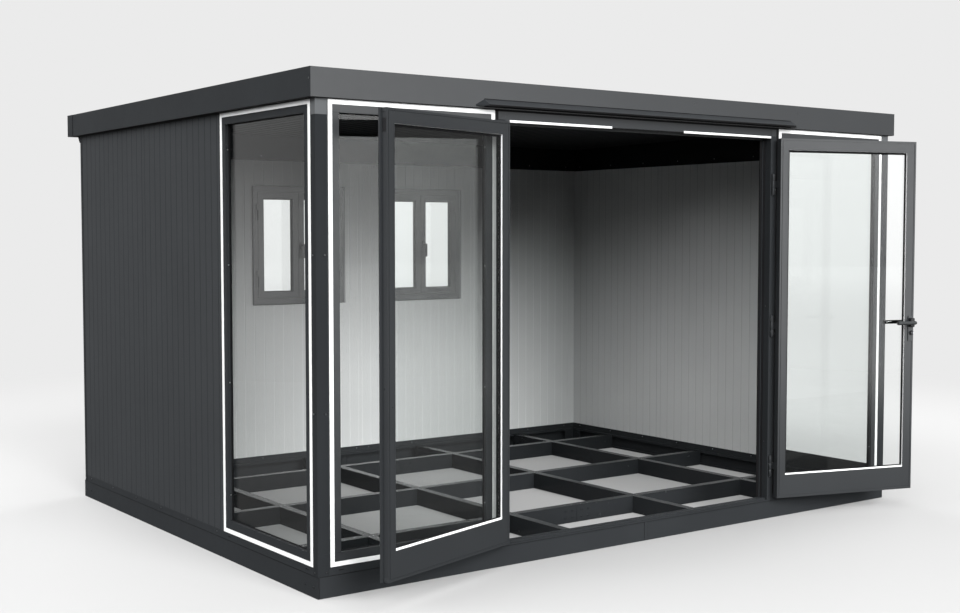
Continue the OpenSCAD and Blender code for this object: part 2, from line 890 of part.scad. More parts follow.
// Back plates with a rose on both faces, and the key cylinder through the leaf.
module right_door_lock() {
  cylinder_proud = 3;
  color(lever_black) place_right_leaf() {
    for (face = [0, 1])
      translate([lever_x, hinge_out + face * leaf_t, lever_z]) rotate([0, 0, 180 * (1 - face)])
        difference() {
          union() {
            translate([-plate_size[0] / 2, 0, 40 - plate_size[2]]) cube(plate_size);
            rotate([-90, 0, 0]) cylinder(h = plate_size[1] + rose_h, r = rose_r, $fn = 48);
          }
          translate([0, -over, 0]) rotate([-90, 0, 0])
            cylinder(h = plate_size[1] + rose_h + 2 * over, r = spindle_r + 0.5, $fn = 48);
        }
    translate([lever_x, hinge_out - plate_size[1] - cylinder_proud, lever_z - cylinder_drop])
      rotate([-90, 0, 0])
        cylinder(h = leaf_t + 2 * (plate_size[1] + cylinder_proud), r = cylinder_r, $fn = 48);
  }
}

// A tapered grip with chamfered ends, standing on z = 0.
module lever_grip(length) {
  chamfer = 1.5;
  rotate_extrude($fn = 48) polygon([
    [0, 0], [lever_r - chamfer, 0], [lever_r, chamfer], [lever_tip_r, length - chamfer],
    [lever_tip_r - chamfer, length], [0, length]
  ]);
}

// Both lever grips on their common spindle, each with a neck towards its rose.
module door_lever() {
  neck_r = 7;
  neck_end = plate_size[1] + rose_h + 5;
  inside = hinge_out + leaf_t + lever_out;
  outside = hinge_out - lever_out;
  color(lever_black) place_right_leaf() translate([lever_x, 0, lever_z]) {
    translate([0, outside, 0]) rotate([-90, 0, 0])
      cylinder(h = inside - outside, r = spindle_r, $fn = 48);
    for (y = [outside, inside - lever_out + neck_end])
      translate([0, y, 0]) rotate([-90, 0, 0])
        cylinder(h = lever_out - neck_end, r = neck_r, $fn = 48);
    for (y = [outside, inside])
      translate([lever_r, y, 0]) rotate([0, -90, 0]) lever_grip(lever_l + lever_r);
  }
}

// The jamb side of the hinges: two knuckles, the pin and the plate on the jamb.
module jamb_hinges() {
  knuckle_h = hinge_h / 3 - knuckle_gap;
  translate([-axis_x, axis_y, 0])
    for (z = hinge_heights)
      translate([0, 0, z]) {
        translate([0, 0, -hinge_h / 2]) cylinder(h = hinge_h, r = pin_r, $fn = 48);
        for (end = [-1, 1])
          translate([0, 0, end * (hinge_h - knuckle_h) / 2 - knuckle_h / 2]) {
            cylinder(h = knuckle_h, r = knuckle_r, $fn = 48);
            translate([-plate_w, hinge_out - plate_t, 0]) cube([plate_w, plate_t, knuckle_h]);
          }
      }
}

module left_door_hinges() {
  color(lever_black) jamb_hinges();
}

module right_door_hinges() {
  color(lever_black) mirror([1, 0, 0]) jamb_hinges();
}

base_rail_front();
base_rail_back();
base_rail_left();
base_rail_right();
floor_beams();
floor_joists();
front_sills();
door_threshold();
corner_post_front_left();
corner_post_front_right();
corner_post_back_left();
corner_post_back_right();
door_jamb_left();
door_jamb_right();
door_header();
door_canopy();
left_wall_panels();
right_wall_panels();
back_wall_panels_left();
back_wall_panels_right();
wall_head_track();
front_glazing_frames();
side_glazing_frames();
front_glazing_glass();
side_glazing_glass();
front_glazing_trims();
side_glazing_trims();
back_window_frames();
back_window_sashes();
back_window_glass();
back_window_handles();
roof_panel();
ceiling_panel();
fascia_front();
fascia_left();
fascia_right();
rear_gutter();
left_door_frame();
left_door_glass();
right_door_frame();
right_door_glass();
right_door_lock();
door_lever();
left_door_hinges();
right_door_hinges();
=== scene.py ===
"""Looks of the garden office pod: materials, fine detail, studio light and camera.

Metres, in the frame of the CAD model. Positions are worked out from the boxes of the CAD nodes.
"""
import json
import math

import bmesh
import bpy
from mathutils import Matrix, Vector


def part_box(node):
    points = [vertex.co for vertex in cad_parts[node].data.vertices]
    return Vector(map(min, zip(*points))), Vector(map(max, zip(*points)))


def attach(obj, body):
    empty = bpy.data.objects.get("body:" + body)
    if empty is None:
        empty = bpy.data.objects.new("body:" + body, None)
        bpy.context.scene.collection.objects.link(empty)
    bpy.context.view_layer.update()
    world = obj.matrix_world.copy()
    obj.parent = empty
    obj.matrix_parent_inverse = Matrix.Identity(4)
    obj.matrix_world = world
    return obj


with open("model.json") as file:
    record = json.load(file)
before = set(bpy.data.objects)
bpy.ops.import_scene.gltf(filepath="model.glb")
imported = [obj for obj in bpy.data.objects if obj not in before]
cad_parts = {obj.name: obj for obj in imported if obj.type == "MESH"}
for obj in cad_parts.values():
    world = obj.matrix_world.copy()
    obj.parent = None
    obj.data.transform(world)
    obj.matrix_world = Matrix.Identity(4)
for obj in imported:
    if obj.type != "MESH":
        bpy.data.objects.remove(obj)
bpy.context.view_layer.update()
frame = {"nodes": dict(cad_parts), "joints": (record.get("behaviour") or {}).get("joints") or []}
nodes = frame["nodes"]


# ---------- Measuring the frame ----------

HERE = Matrix.Identity(4)
MIRROR = Matrix.Scale(-1, 4, (1, 0, 0))
BOTH_SIDES = (HERE, MIRROR)

joints = {joint["name"]: joint for joint in frame["joints"]}
hinge_x, hinge_y = joints["left_door_hinge"]["pos_m"][:2]
left_open = math.radians(joints["left_door_hinge"]["range_deg"][1])
right_open = math.radians(-joints["right_door_hinge"]["range_deg"][0])


def shift(x, y, z):
    return Matrix.Translation((x, y, z))


def spin(angle, axis):
    return Matrix.Rotation(angle, 4, axis)


def local_box(node, place):
    """Lowest and highest corner of a CAD node, measured in the frame of a placing matrix."""
    back = place.inverted()
    points = [back @ vertex.co for vertex in nodes[node].data.vertices]
    low = Vector([min(p[i] for p in points) for i in range(3)])
    high = Vector([max(p[i] for p in points) for i in range(3)])
    return low, high


def turned_leaf(angle):
    """Frame of a leaf: x runs from its hinge along it, +y is its inner face, z is up."""
    return shift(hinge_x, hinge_y, 0) @ spin(-angle, "Z")


LEFT_LEAF = turned_leaf(left_open)
RIGHT_LEAF = MIRROR @ turned_leaf(right_open)

# Outer faces of the walls
post_low, post_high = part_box("corner_post_front_left")
back_post_low, back_post_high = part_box("corner_post_back_left")
half_w = -post_low.x
front_y = post_low.y
back_y = back_post_high.y
wall_t = back_post_high.x - back_post_low.x
wall_top = post_high.z
floor_top = post_low.z


# ---------- Shader nodes ----------

def srgb(*values):
    """Linear colour of sRGB values from 0 to 255."""
    linear = []
    for value in values:
        c = value / 255
        linear.append(c / 12.92 if c <= 0.04045 else ((c + 0.055) / 1.055) ** 2.4)
    return (*linear, 1.0)


def scaled(colour, factor):
    """A colour made darker or lighter, still opaque."""
    return tuple(c * factor for c in colour[:3]) + (1.0,)


def new_material(name):
    material = bpy.data.materials.new(name)
    material.use_nodes = True
    tree = material.node_tree
    shader = tree.nodes["Principled BSDF"]
    return material, tree, shader


def set_inputs(node, **values):
    """Sets plain numbers or colours on the inputs of a node."""
    for name, value in values.items():
        node.inputs[name].default_value = value


def add_node(tree, kind, **values):
    node = tree.nodes.new("ShaderNode" + kind)
    set_inputs(node, **values)
    return node


def noise_node(tree, scale, detail=3.0):
    noise = add_node(tree, "TexNoise", Scale=scale, Detail=detail)
    tree.links.new(add_node(tree, "TexCoord").outputs["Object"], noise.inputs["Vector"])
    return noise.outputs["Fac"]


def colour_ramp(tree, source, low, high, colour_low, colour_high):
    ramp = add_node(tree, "ValToRGB")
    first, second = ramp.color_ramp.elements
    first.position, second.position = low, high
    first.color, second.color = colour_low, colour_high
    tree.links.new(source, ramp.inputs["Fac"])
    return ramp.outputs["Color"]


def value_ramp(tree, source, low, high, to_low=0.0, to_high=1.0, course="SMOOTHSTEP"):
    ends = {"From Min": low, "From Max": high, "To Min": to_low, "To Max": to_high}
    node = add_node(tree, "MapRange", **ends)
    node.interpolation_type = course
    tree.links.new(source, node.inputs["Value"])
    return node.outputs["Result"]


def math_node(tree, operation, *values):
    """Math on one or two values; each is a plain number or a socket."""
    node = add_node(tree, "Math")
    node.operation = operation
    for socket, value in zip(node.inputs, values):
        if isinstance(value, (int, float)):
            socket.default_value = value
        else:
            tree.links.new(value, socket)
    return node.outputs["Value"]


def vector_node(tree, operation, source):
    node = add_node(tree, "VectorMath")
    node.operation = operation
    tree.links.new(source, node.inputs[0])
    return node


def scaled_vector(tree, source, factor):
    node = vector_node(tree, "SCALE", source)
    tree.links.new(factor, node.inputs["Scale"])
    return node.outputs["Vector"]


def split_vector(tree, source):
    parts = add_node(tree, "SeparateXYZ")
    tree.links.new(source, parts.inputs["Vector"])
    return parts.outputs


def mix_surface(tree, output, factor, first, second):
    """Mixes two shaders into the surface of an output node."""
    mix = add_node(tree, "MixShader")
    for socket, source in zip(mix.inputs, (factor, first, second)):
        tree.links.new(source, socket)
    tree.links.new(mix.outputs["Shader"], output.inputs["Surface"])


# ---------- Materials ----------

GLOSS_SPREAD = 0.05
GRAIN_DEPTH = 0.0002
CLOUDS, PATCHES, GLASS_CLOUDS = 2.2, 23.0, 1.7
GLASS_CLOUDING = 0.985
GLASS_IOR = 1.42
GLASS_SHADE = 0.8
# Lean of a normal, as the product of its x and y, from which a face counts as a groove's slope
FLAT_LEAN, SLOPE_LEAN = 0.1, 0.3


def coated(name, colour, roughness, grain=900.0, spread=0.05, bump=0.12, specular=0.5, metallic=0.0):
    """Painted or moulded surface with faint clouding, a fine grain and uneven gloss."""
    material, tree, shader = new_material(name)
    tones = scaled(colour, 1 - spread), scaled(colour, 1 + spread)
    shade = colour_ramp(tree, noise_node(tree, CLOUDS), 0.35, 0.65, *tones)
    tree.links.new(shade, shader.inputs["Base Color"])
    gloss = value_ramp(tree, noise_node(tree, PATCHES), 0.0, 1.0,
                       roughness - GLOSS_SPREAD, roughness + GLOSS_SPREAD, "LINEAR")
    tree.links.new(gloss, shader.inputs["Roughness"])
    relief = add_node(tree, "Bump", Strength=bump, Distance=GRAIN_DEPTH)
    tree.links.new(noise_node(tree, grain, 2.0), relief.inputs["Height"])
    tree.links.new(relief.outputs["Normal"], shader.inputs["Normal"])
    set_inputs(shader, **{"Specular IOR Level": specular, "Metallic": metallic})
    return material


def shade_grooves(material, factor):
    """Paints shade and highlight on the slopes of upright grooves, whose normals lean off x and y: a factor
    below 1 darkens them as painted shade, above 1 lightens them as painted highlight.
    """
    tree = material.node_tree
    base = tree.nodes["Principled BSDF"].inputs["Base Color"]
    normal = split_vector(tree, add_node(tree, "TexCoord").outputs["Normal"])
    lean = math_node(tree, "ABSOLUTE", math_node(tree, "MULTIPLY", normal["X"], normal["Y"]))
    shade = value_ramp(tree, lean, FLAT_LEAN, SLOPE_LEAN, 1.0, factor, "LINEAR")
    tree.links.new(scaled_vector(tree, base.links[0].from_socket, shade), base)


def clear_glass(name, tint):
    """Clear glazing, faintly clouded, that lets light through to what is behind it."""
    material, tree, shader = new_material(name)
    shade = colour_ramp(tree, noise_node(tree, GLASS_CLOUDS), 0.3, 0.7, scaled(tint, GLASS_CLOUDING), tint)
    tree.links.new(shade, shader.inputs["Base Color"])
    set_inputs(shader, **{"Transmission Weight": 1.0, "Roughness": 0.0, "IOR": GLASS_IOR})
    path = add_node(tree, "LightPath")
    passing = math_node(tree, "MAXIMUM", path.outputs["Is Shadow Ray"], path.outputs["Is Diffuse Ray"])
    through = add_node(tree, "BsdfTransparent", Color=scaled(tint, GLASS_SHADE))
    output = tree.nodes["Material Output"]
    mix_surface(tree, output, passing, shader.outputs["BSDF"], through.outputs["BSDF"])
    return material


COIL = {"grain": 500.0, "spread": 0.03, "bump": 0.04}
LIGHT_COIL = {"grain": 500.0, "spread": 0.02, "bump": 0.02, "specular": 0.4}
FITTING = {"grain": 1400.0, "spread": 0.06, "bump": 0.1}
PANEL_GREY = srgb(204, 205, 205)

ANTHRACITE = coated("satin_anthracite", srgb(44, 46, 48), 0.3, specular=0.8)
SATIN = coated("semi_matt_anthracite", srgb(43, 45, 47), 0.3, specular=0.42)
MATTE = coated("matte_anthracite", srgb(43, 45, 47), 0.5, specular=0.06)
DARK_STEEL = coated("dark_coated_steel", srgb(38, 40, 42), 0.5, specular=0.06)
FLOOR_STEEL = coated("satin_floor_steel", srgb(37, 39, 41), 0.25)
CAP_GREY = coated("grey_coated_cap", srgb(84, 86, 88), 0.42, specular=0.3)
PANEL_DARK = coated("anthracite_coil_coat", srgb(53, 55, 57), 0.5, specular=0.06, **COIL)
PANEL_LIGHT = coated("grey_coil_coat", PANEL_GREY, 0.17, **LIGHT_COIL)
# Copy of the grey coil coat for the side walls, differing only by the painted shade in its grooves
PANEL_SIDE_PAINTED_SHADE = coated("grey_coil_coat_painted_groove_shade", PANEL_GREY, 0.17, **LIGHT_COIL)
# Darker than the anthracite coat it stands for: painted shade on the ceiling, its ribs and the wall head
# track under it
CEILING_PAINTED_SHADE = coated("ceiling_coat_painted_shade", srgb(22, 23, 24), 0.6, 500.0, 0.03, 0.06, 0.1)
WHITE = coated("white_profile", srgb(240, 241, 241), 0.4, 700.0, 0.01, 0.05)
RUBBER = coated("black_rubber", srgb(20, 20, 21), 0.72, 1500.0, 0.1, 0.3, 0.2)
# Lighter copy of the black lever coat: painted light on the inner grip
LEVER_PAINTED_LIT = coated("black_lever_coat_painted_lit", srgb(50, 52, 53), 0.34, specular=0.6, **FITTING)
LEVER_METAL = coated("black_lever_coat", srgb(17, 17, 18), 0.28, specular=0.6, **FITTING)
BLACK_METAL = coated("black_anodised", srgb(24, 24, 26), 0.34, **FITTING)
CHROME = coated("bright_key_metal", srgb(225, 226, 228), 0.2, 1400.0, 0.03, 0.05, metallic=1.0)
ZINC = coated("zinc_plated", srgb(150, 152, 154), 0.34, 1800.0, 0.08, 0.15, metallic=1.0)
GLASS = clear_glass("clear_double_glazing", (0.955, 0.97, 0.965, 1.0))
# Painted shade on the groove slopes of the outer skins and side inner skins; painted highlight on the
# groove slopes of the back inner skin and the chamfers of the corner strips
shade_grooves(PANEL_DARK, 0.75)
shade_grooves(PANEL_LIGHT, 1.22)
shade_grooves(PANEL_SIDE_PAINTED_SHADE, 0.74)

SLOTS = dict.fromkeys((ANTHRACITE, SATIN, MATTE, DARK_STEEL, FLOOR_STEEL, CAP_GREY, PANEL_DARK, CEILING_PAINTED_SHADE),
                      "anthracite_steel")
SLOTS.update(dict.fromkeys((PANEL_LIGHT, PANEL_SIDE_PAINTED_SHADE), "light_panel"))
SLOTS.update(dict.fromkeys((RUBBER, LEVER_PAINTED_LIT, LEVER_METAL, BLACK_METAL, CHROME, ZINC), "black_metal"))
SLOTS.update({WHITE: "white_trim", GLASS: "clear_glass"})


def dress(material, *starts):
    """Gives one finish to the CAD nodes whose names start with one of the given words."""
    for name, node in nodes.items():
        if name.startswith(starts):
            node.data.materials.clear()
            node.data.materials.append(material)


dress(ANTHRACITE, "")
dress(MATTE, "base_rail", "front_sills", "door_threshold", "side_glazing_frames", "corner_post_back",
      "fascia_left", "fascia_right", "rear_gutter", "door_jamb")
dress(SATIN, "left_door_frame", "door_header")
dress(FLOOR_STEEL, "floor_beams", "floor_joists")
dress(DARK_STEEL, "corner_post_front")
dress(PANEL_DARK, "left_wall_panels", "right_wall_panels")
dress(PANEL_LIGHT, "back_wall_panels")
dress(CEILING_PAINTED_SHADE, "ceiling_panel", "wall_head_track")
dress(WHITE, "front_glazing_trims", "side_glazing_trims")
dress(GLASS, "front_glazing_glass", "side_glazing_glass", "back_window_glass",
      "left_door_glass", "right_door_glass")
dress(BLACK_METAL, "left_door_hinges", "right_door_hinges")
dress(LEVER_METAL, "door_lever")


# ---------- Building pieces ----------

WELD = 0.000002
SHARP = math.radians(32)
SCREW_STEPS, WASHER_STEPS, SLEEVE_STEPS, ROUND_STEPS = 12, 14, 24, 28
# How far the back of a small part sinks into the face that carries it
SINK = 0.001


class Piece:
    """Collects geometry of one finish and makes it one object on one body."""

    def __init__(self, name, material, body="pod"):
        self.name = name
        self.material = material
        self.body = body
        self.mesh = bmesh.new()

    def face_points(self, rings, place, caps=True):
        """Skins a row of closed rings of points; each ring has the same number of points."""
        made = [[self.mesh.verts.new(place @ Vector(p)) for p in ring] for ring in rings]
        count = len(made[0])
        for first, second in zip(made, made[1:]):
            for i in range(count):
                j = (i + 1) % count
                self.mesh.faces.new((first[i], first[j], second[j], second[i]))
        if caps:
            self.mesh.faces.new(made[0][::-1])
            self.mesh.faces.new(made[-1])

    def run(self, outline, start, end, axis="z", place=HERE):
        """Runs an outline of two coordinates along x or z from start to end."""
        rings = []
        for t in (start, end):
            rings.append([(t, a, b) if axis == "x" else (a, b, t) for a, b in outline])
        self.face_points(rings, place)

    def loop(self, outline, x0, z0, x1, z1, place=HERE):
        """Mitred frame in the xz plane: outline points are (distance inwards, y)."""
        corners = ((x0, z0, 1, 1), (x1, z0, -1, 1), (x1, z1, -1, -1), (x0, z1, 1, -1))
        rings = [[(x + sx * d, y, z + sz * d) for d, y in outline] for x, z, sx, sz in corners]
        self.face_points(rings + [rings[0]], place, caps=False)

    def band(self, outline, outer, inner, place=HERE):
        """Frame between two rectangles in the xz plane: outline points are (0 outside to 1 inside, y)."""
        rings = []
        for ix, iz in ((0, 1), (2, 1), (2, 3), (0, 3)):
            x0, z0 = outer[ix], outer[iz]
            wide, tall = inner[ix] - x0, inner[iz] - z0
            rings.append([(x0 + wide * t, y, z0 + tall * t) for t, y in outline])
        self.face_points(rings + [rings[0]], place, caps=False)

    def turned(self, profile, place, steps):
        """Lathed body: profile points are (radius, height) along local z."""
        angles = [2 * math.pi * i / steps for i in range(steps)]
        rings = [[(radius * math.cos(a), radius * math.sin(a), height) for a in angles]
                 for radius, height in profile]
        self.face_points(rings, place)

    def block(self, low, high, edge, place=HERE):
        """Box with chamfered upright edges and softened ends."""
        (x0, y0, z0), (x1, y1, z1) = low, high
        e = min(edge, (x1 - x0) / 3, (y1 - y0) / 3, (z1 - z0) / 3)

        def ring(inset, z):
            a, b, c, d = x0 + inset, x1 - inset, y0 + inset, y1 - inset
            return [(a + e, c, z), (b - e, c, z), (b, c + e, z), (b, d - e, z),
                    (b - e, d, z), (a + e, d, z), (a, d - e, z), (a, c + e, z)]

        self.face_points([ring(e, z0), ring(0, z0 + e), ring(0, z1 - e), ring(e, z1)], place)

    def screw(self, x, y, z, facing, radius, place=HERE):
        """Pan head with a socket, facing along the given direction."""
        turn = Vector(facing).to_track_quat("Z", "Y").to_matrix().to_4x4()
        head = [(1, 0.2), (0.86, 0.48), (0.55, 0.62), (0.42, 0.62), (0.36, 0.25)]
        profile = [(radius, -0.0005)] + [(radius * r, radius * h) for r, h in head]
        self.turned(profile, place @ shift(x, y, z) @ turn, SCREW_STEPS)

    def done(self, smooth=False):
        bmesh.ops.remove_doubles(self.mesh, verts=self.mesh.verts, dist=WELD)
        bmesh.ops.recalc_face_normals(self.mesh, faces=self.mesh.faces)
        data = bpy.data.meshes.new(self.name)
        self.mesh.to_mesh(data)
        self.mesh.free()
        data.materials.append(self.material)
        piece = bpy.data.objects.new(self.name, data)
        bpy.context.scene.collection.objects.link(piece)
        if smooth:
            data.shade_smooth()
            for edge in data.edges:
                edge.use_edge_sharp = False
            data.set_sharp_from_angle(angle=SHARP)
        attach(piece, self.body)


def finish(*pieces, smooth=False):
    for piece in pieces:
        piece.done(smooth)


# ---------- Wall skins ----------

RIB_PITCH = 0.07315
FIRST_RIB = 0.072
LAST_RIB = 0.042
EDGE_MARGIN = 0.02
PANEL_W = 1.0
SKIN_T = 0.0019
GROOVE_D = 0.0018
GROOVE_W = 0.007
JOINT_W = 0.008
TRACK_H = 0.04
WINDOW_W = 0.7

side_low, side_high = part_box("left_wall_panels")
back_low, back_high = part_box("back_wall_panels_left")
window_low, window_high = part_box("back_window_frames")
head_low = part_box("wall_head_track")[0]
track_top = floor_top + TRACK_H
skin_top = head_low.z + 0.002
room_half = half_w - wall_t
window_x = window_high.x - WINDOW_W / 2
side_joints = [back_y - PANEL_W]
back_joints = [-room_half + PANEL_W, 0.0, room_half - PANEL_W]


def rib_places(start, end, joint_list):
    """Places and widths of the grooves between start and end, counted from the panel joints."""
    edges = sorted([j for j in joint_list if start < j < end])
    places = [(j, JOINT_W) for j in edges]
    for i in range(len(edges) + 1):
        low = edges[i - 1] if i else start
        high = edges[i] if i < len(edges) else end
        spot = low + FIRST_RIB if i else high - LAST_RIB
        step = RIB_PITCH if i else -RIB_PITCH
        while low + EDGE_MARGIN < spot < high - EDGE_MARGIN:
            places.append((spot, GROOVE_W))
            spot += step
    return sorted(places)


def skin_outline(start, end, face, out, places):
    """Cross section of a grooved sheet that lies on a face; out is 1 or -1."""
    top = face + SKIN_T * out
    deep = top - GROOVE_D * out
    points = [(start, face), (start, top)]
    for spot, width in places:
        if start + width < spot < end - width:
            points += [(spot - width / 2, top), (spot - width / 8, deep),
                       (spot + width / 8, deep), (spot + width / 2, top)]
    return points + [(end, top), (end, face)]


def side_skin(name, material, face, out, z0, z1, place):
    """Skin on a side wall; x is the depth of its face and y runs along the wall."""
    piece = Piece(name, material)
    outline = skin_outline(side_low.y, side_high.y, face, out,
                           rib_places(side_low.y, side_high.y, side_joints))
    piece.run([(x, y) for y, x in outline], z0, z1, "z", place)
    piece.done()


def back_skin(name, material, face, out, z0, z1):
    """Skin on the back wall, with the two window holes left out."""
    piece = Piece(name, material)
    places = rib_places(-room_half, room_half, back_joints)
    holes = [(x - WINDOW_W / 2, x + WINDOW_W / 2) for x in (-window_x, window_x)]
    edges = [-room_half] + [x for hole in holes for x in hole] + [room_half]
    for start, end in zip(edges, edges[1:]):
        spans = [(z0, z1)]
        if (start, end) in holes:
            spans = [(z0, window_low.z), (window_high.z, z1)]
        for low, high in spans:
            piece.run(skin_outline(start, end, face, out, places), low, high)
    piece.done()


for side, place in (("left", HERE), ("right", MIRROR)):
    side_skin(side + "_wall_outer_skin", PANEL_DARK, side_low.x, -1, track_top, wall_top, place)
    side_skin(side + "_wall_inner_skin", PANEL_SIDE_PAINTED_SHADE, side_high.x, 1, side_low.z, skin_top, place)
back_skin("back_wall_inner_skin", PANEL_LIGHT, back_low.y, -1, back_low.z, skin_top)
back_skin("back_wall_outer_skin", PANEL_DARK, back_high.y, 1, track_top, wall_top)


# ---------- Fixed glazing ----------

GLASS_COVER = 0.009
jamb_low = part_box("door_jamb_left")[0]
glass_low, glass_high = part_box("front_glazing_glass")
sill_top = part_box("front_glazing_frames")[0].z
post_w = post_high.x - post_low.x
unit_w = half_w - post_w + jamb_low.x
face_w = glass_low.z + GLASS_COVER - sill_top
glass_out = glass_low.y - front_y
glass_in = glass_high.y - front_y
light = (face_w, sill_top + face_w, unit_w - face_w, wall_top - face_w)

# Frame of a glazing unit: x runs along it, y = 0 is its outer face, +y is inwards.
FRONT_UNIT = shift(-half_w + post_w, front_y, 0)
SIDE_UNIT = shift(-half_w, side_low.y, 0) @ spin(-math.pi / 2, "Z")
units = [FRONT_UNIT, MIRROR @ FRONT_UNIT, SIDE_UNIT, MIRROR @ SIDE_UNIT]

REVEAL_SCREW_HEIGHTS = (0.333, 0.907, 1.502, 2.08)
DRAIN_HALF_W = 0.013
TRIM_W = 0.03


def gasket(piece, corners, face, out, place, width=0.0045):
    """Wedge gasket that lies on the glass around a light."""
    piece.loop([(0, face), (width, face), (0.7 * width, face + 0.6 * width * out),
                (0, face + width * out)], *corners, place)


def glazing_details():
    """Gaskets, reveal screws, drain caps and mitre seams of the four fixed units."""
    seals = Piece("glazing_gaskets", RUBBER)
    fixings = Piece("glazing_reveal_screws", ZINC)
    drains = Piece("sill_drain_caps", RUBBER)
    seams = Piece("glazing_corner_seams", RUBBER)
    x0, z0, x1, z1 = light
    for place in units:
        gasket(seals, light, glass_out, -1, place)
        gasket(seals, light, glass_in, 1, place, 0.0025)
        for z in REVEAL_SCREW_HEIGHTS:
            for x, facing in ((x0, 1), (x1, -1)):
                fixings.screw(x, glass_out * 0.55, z, (facing, 0, 0), 0.0038, place)
        for x, step in ((x0, -1), (x1, 1)):
            drains.block((x - DRAIN_HALF_W, -0.0015, sill_top - 0.021),
                         (x + DRAIN_HALF_W, SINK, sill_top - 0.017), 0.001, place)
            low, high = sorted((x, x + step * (face_w - TRIM_W)))
            for z in (z0, z1):
                seams.block((low, -0.0003, z - 0.0005), (high, SINK, z + 0.0005), 0.0001, place)
    finish(seals, fixings, drains, seams)


glazing_details()


# ---------- Doors ----------

HINGE_H = 0.114
HINGE_STEP = 0.817
KNUCKLE_H = HINGE_H / 3 - 0.0006
SLEEVE_R = 0.0074
hinge_low, hinge_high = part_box("left_door_hinges")
first_hinge = hinge_low.z + HINGE_H / 2
hinge_heights = [first_hinge, first_hinge + HINGE_STEP, hinge_high.z - HINGE_H / 2]

BEAD_BEVEL = 0.005
BEAD_W = 0.003
WIDE_BEAD_W = 0.014
GASKET_W = 0.012
FACE_LIP = 0.0006
EDGE_REBATE = 0.012
CORNER_CAP_H = 0.02
# How far the glazing beads reach over the glass at the hinge and at the lock
BEAD_WIDTHS = {"left": (WIDE_BEAD_W, BEAD_W), "right": (BEAD_W, WIDE_BEAD_W)}
FRAME_FINISH = {"left": SATIN, "right": ANTHRACITE}
# Foot and top of each plate on the lock edge
EDGE_FITTINGS = {"left": ((2.1, 2.16),), "right": ((1.0, 1.24),)}


def leaf_measures(side, place):
    """Boxes of a leaf's glass and frame, and the y of its inner and outer glazing faces."""
    glass_box = local_box(side + "_door_glass", place)
    leaf_box = local_box(side + "_door_frame", place)
    inner = leaf_box[1].y
    outer = glass_box[0].y - (inner - glass_box[1].y)
    return glass_box, leaf_box, inner, outer


def leaf_light(side, place):
    """Gaskets, glazing beads and bead covers around the light of one leaf."""
    body = side + "_door"
    (low, high), _, inner, _ = leaf_measures(side, place)
    glass = high.y
    hinge_bead, lock_bead = BEAD_WIDTHS[side]
    x0, z0 = low.x + GLASS_COVER, low.z + GLASS_COVER
    x1, z1 = high.x - GLASS_COVER, high.z - GLASS_COVER
    seat = (x0 - BEAD_BEVEL, z0 - BEAD_BEVEL, x1 + BEAD_BEVEL, z1 + BEAD_BEVEL)
    reveal = (x0 + hinge_bead, z0 + BEAD_W, x1 - lock_bead, z1 - BEAD_W)
    seals = Piece(side + "_leaf_gaskets", RUBBER, body)
    gasket(seals, (x0, z0, x1, z1), low.y, -1, place, 0.005)
    seals.loop([(-0.0008, glass + 0.0002), (-0.0008, glass + 0.0034), (0.0016, glass + 0.0032),
                (GASKET_W, glass + 0.0008), (GASKET_W, glass + 0.0002)], *reveal, place)
    seals.done()
    covers = Piece(side + "_leaf_bead_covers", FRAME_FINISH[side], body)
    covers.band([(0, inner - FACE_LIP), (0.03, inner + 0.0005), (0.97, inner + 0.0005), (1, inner - 0.0002),
                 (1, glass + 0.0006), (0.7, glass + 0.0006)], seat, reveal, place)
    covers.done()
    bead = Piece(side + "_leaf_beads", WHITE, body)
    bead.loop([(-0.0006, glass + 0.003), (-0.0006, inner - FACE_LIP), (0.0006, inner - 0.0012),
               (0.0006, glass + 0.003)], *reveal, place)
    foot = reveal[1]
    bead.run([(glass + 0.001, foot - 0.002), (glass + 0.001, foot + 0.006),
              (inner - FACE_LIP, foot + 0.0004), (inner + 0.0008, foot - 0.0004),
              (inner + 0.0008, foot - 0.002)], reveal[0], reveal[2], "x", place)
    bead.done()


def leaf_edges(side, place):
    """Brush seal under one leaf, and the caps and plates on its lock edge."""
    body = side + "_door"
    _, (low, high), inner, outer = leaf_measures(side, place)
    edge = high.x - EDGE_REBATE
    brush = Piece(side + "_leaf_brush_seal", RUBBER, body)
    brush.block((0.024, outer + 0.008, low.z - 0.004),
                (edge - 0.004, outer + 0.016, low.z + SINK), 0.001, place)
    brush.done()
    caps = Piece(side + "_leaf_corner_caps", FRAME_FINISH[side], body)
    for z in (low.z + 0.0005, high.z - CORNER_CAP_H):
        caps.block((edge - 0.004, outer + 0.012, z),
                   (edge + 0.0016, inner - 0.006, z + CORNER_CAP_H - 0.0005), 0.002, place)
    caps.done()
    plates = Piece(side + "_leaf_edge_fittings", BLACK_METAL, body)
    for z0, z1 in EDGE_FITTINGS[side]:
        plates.block((edge - SINK, outer + 0.014, z0), (edge + 0.0012, outer + 0.034, z1), 0.0004, place)
        for z in (z0 + 0.012, z1 - 0.012):
            plates.screw(edge + 0.0012, outer + 0.024, z, (1, 0, 0), 0.003, place)
    plates.done()


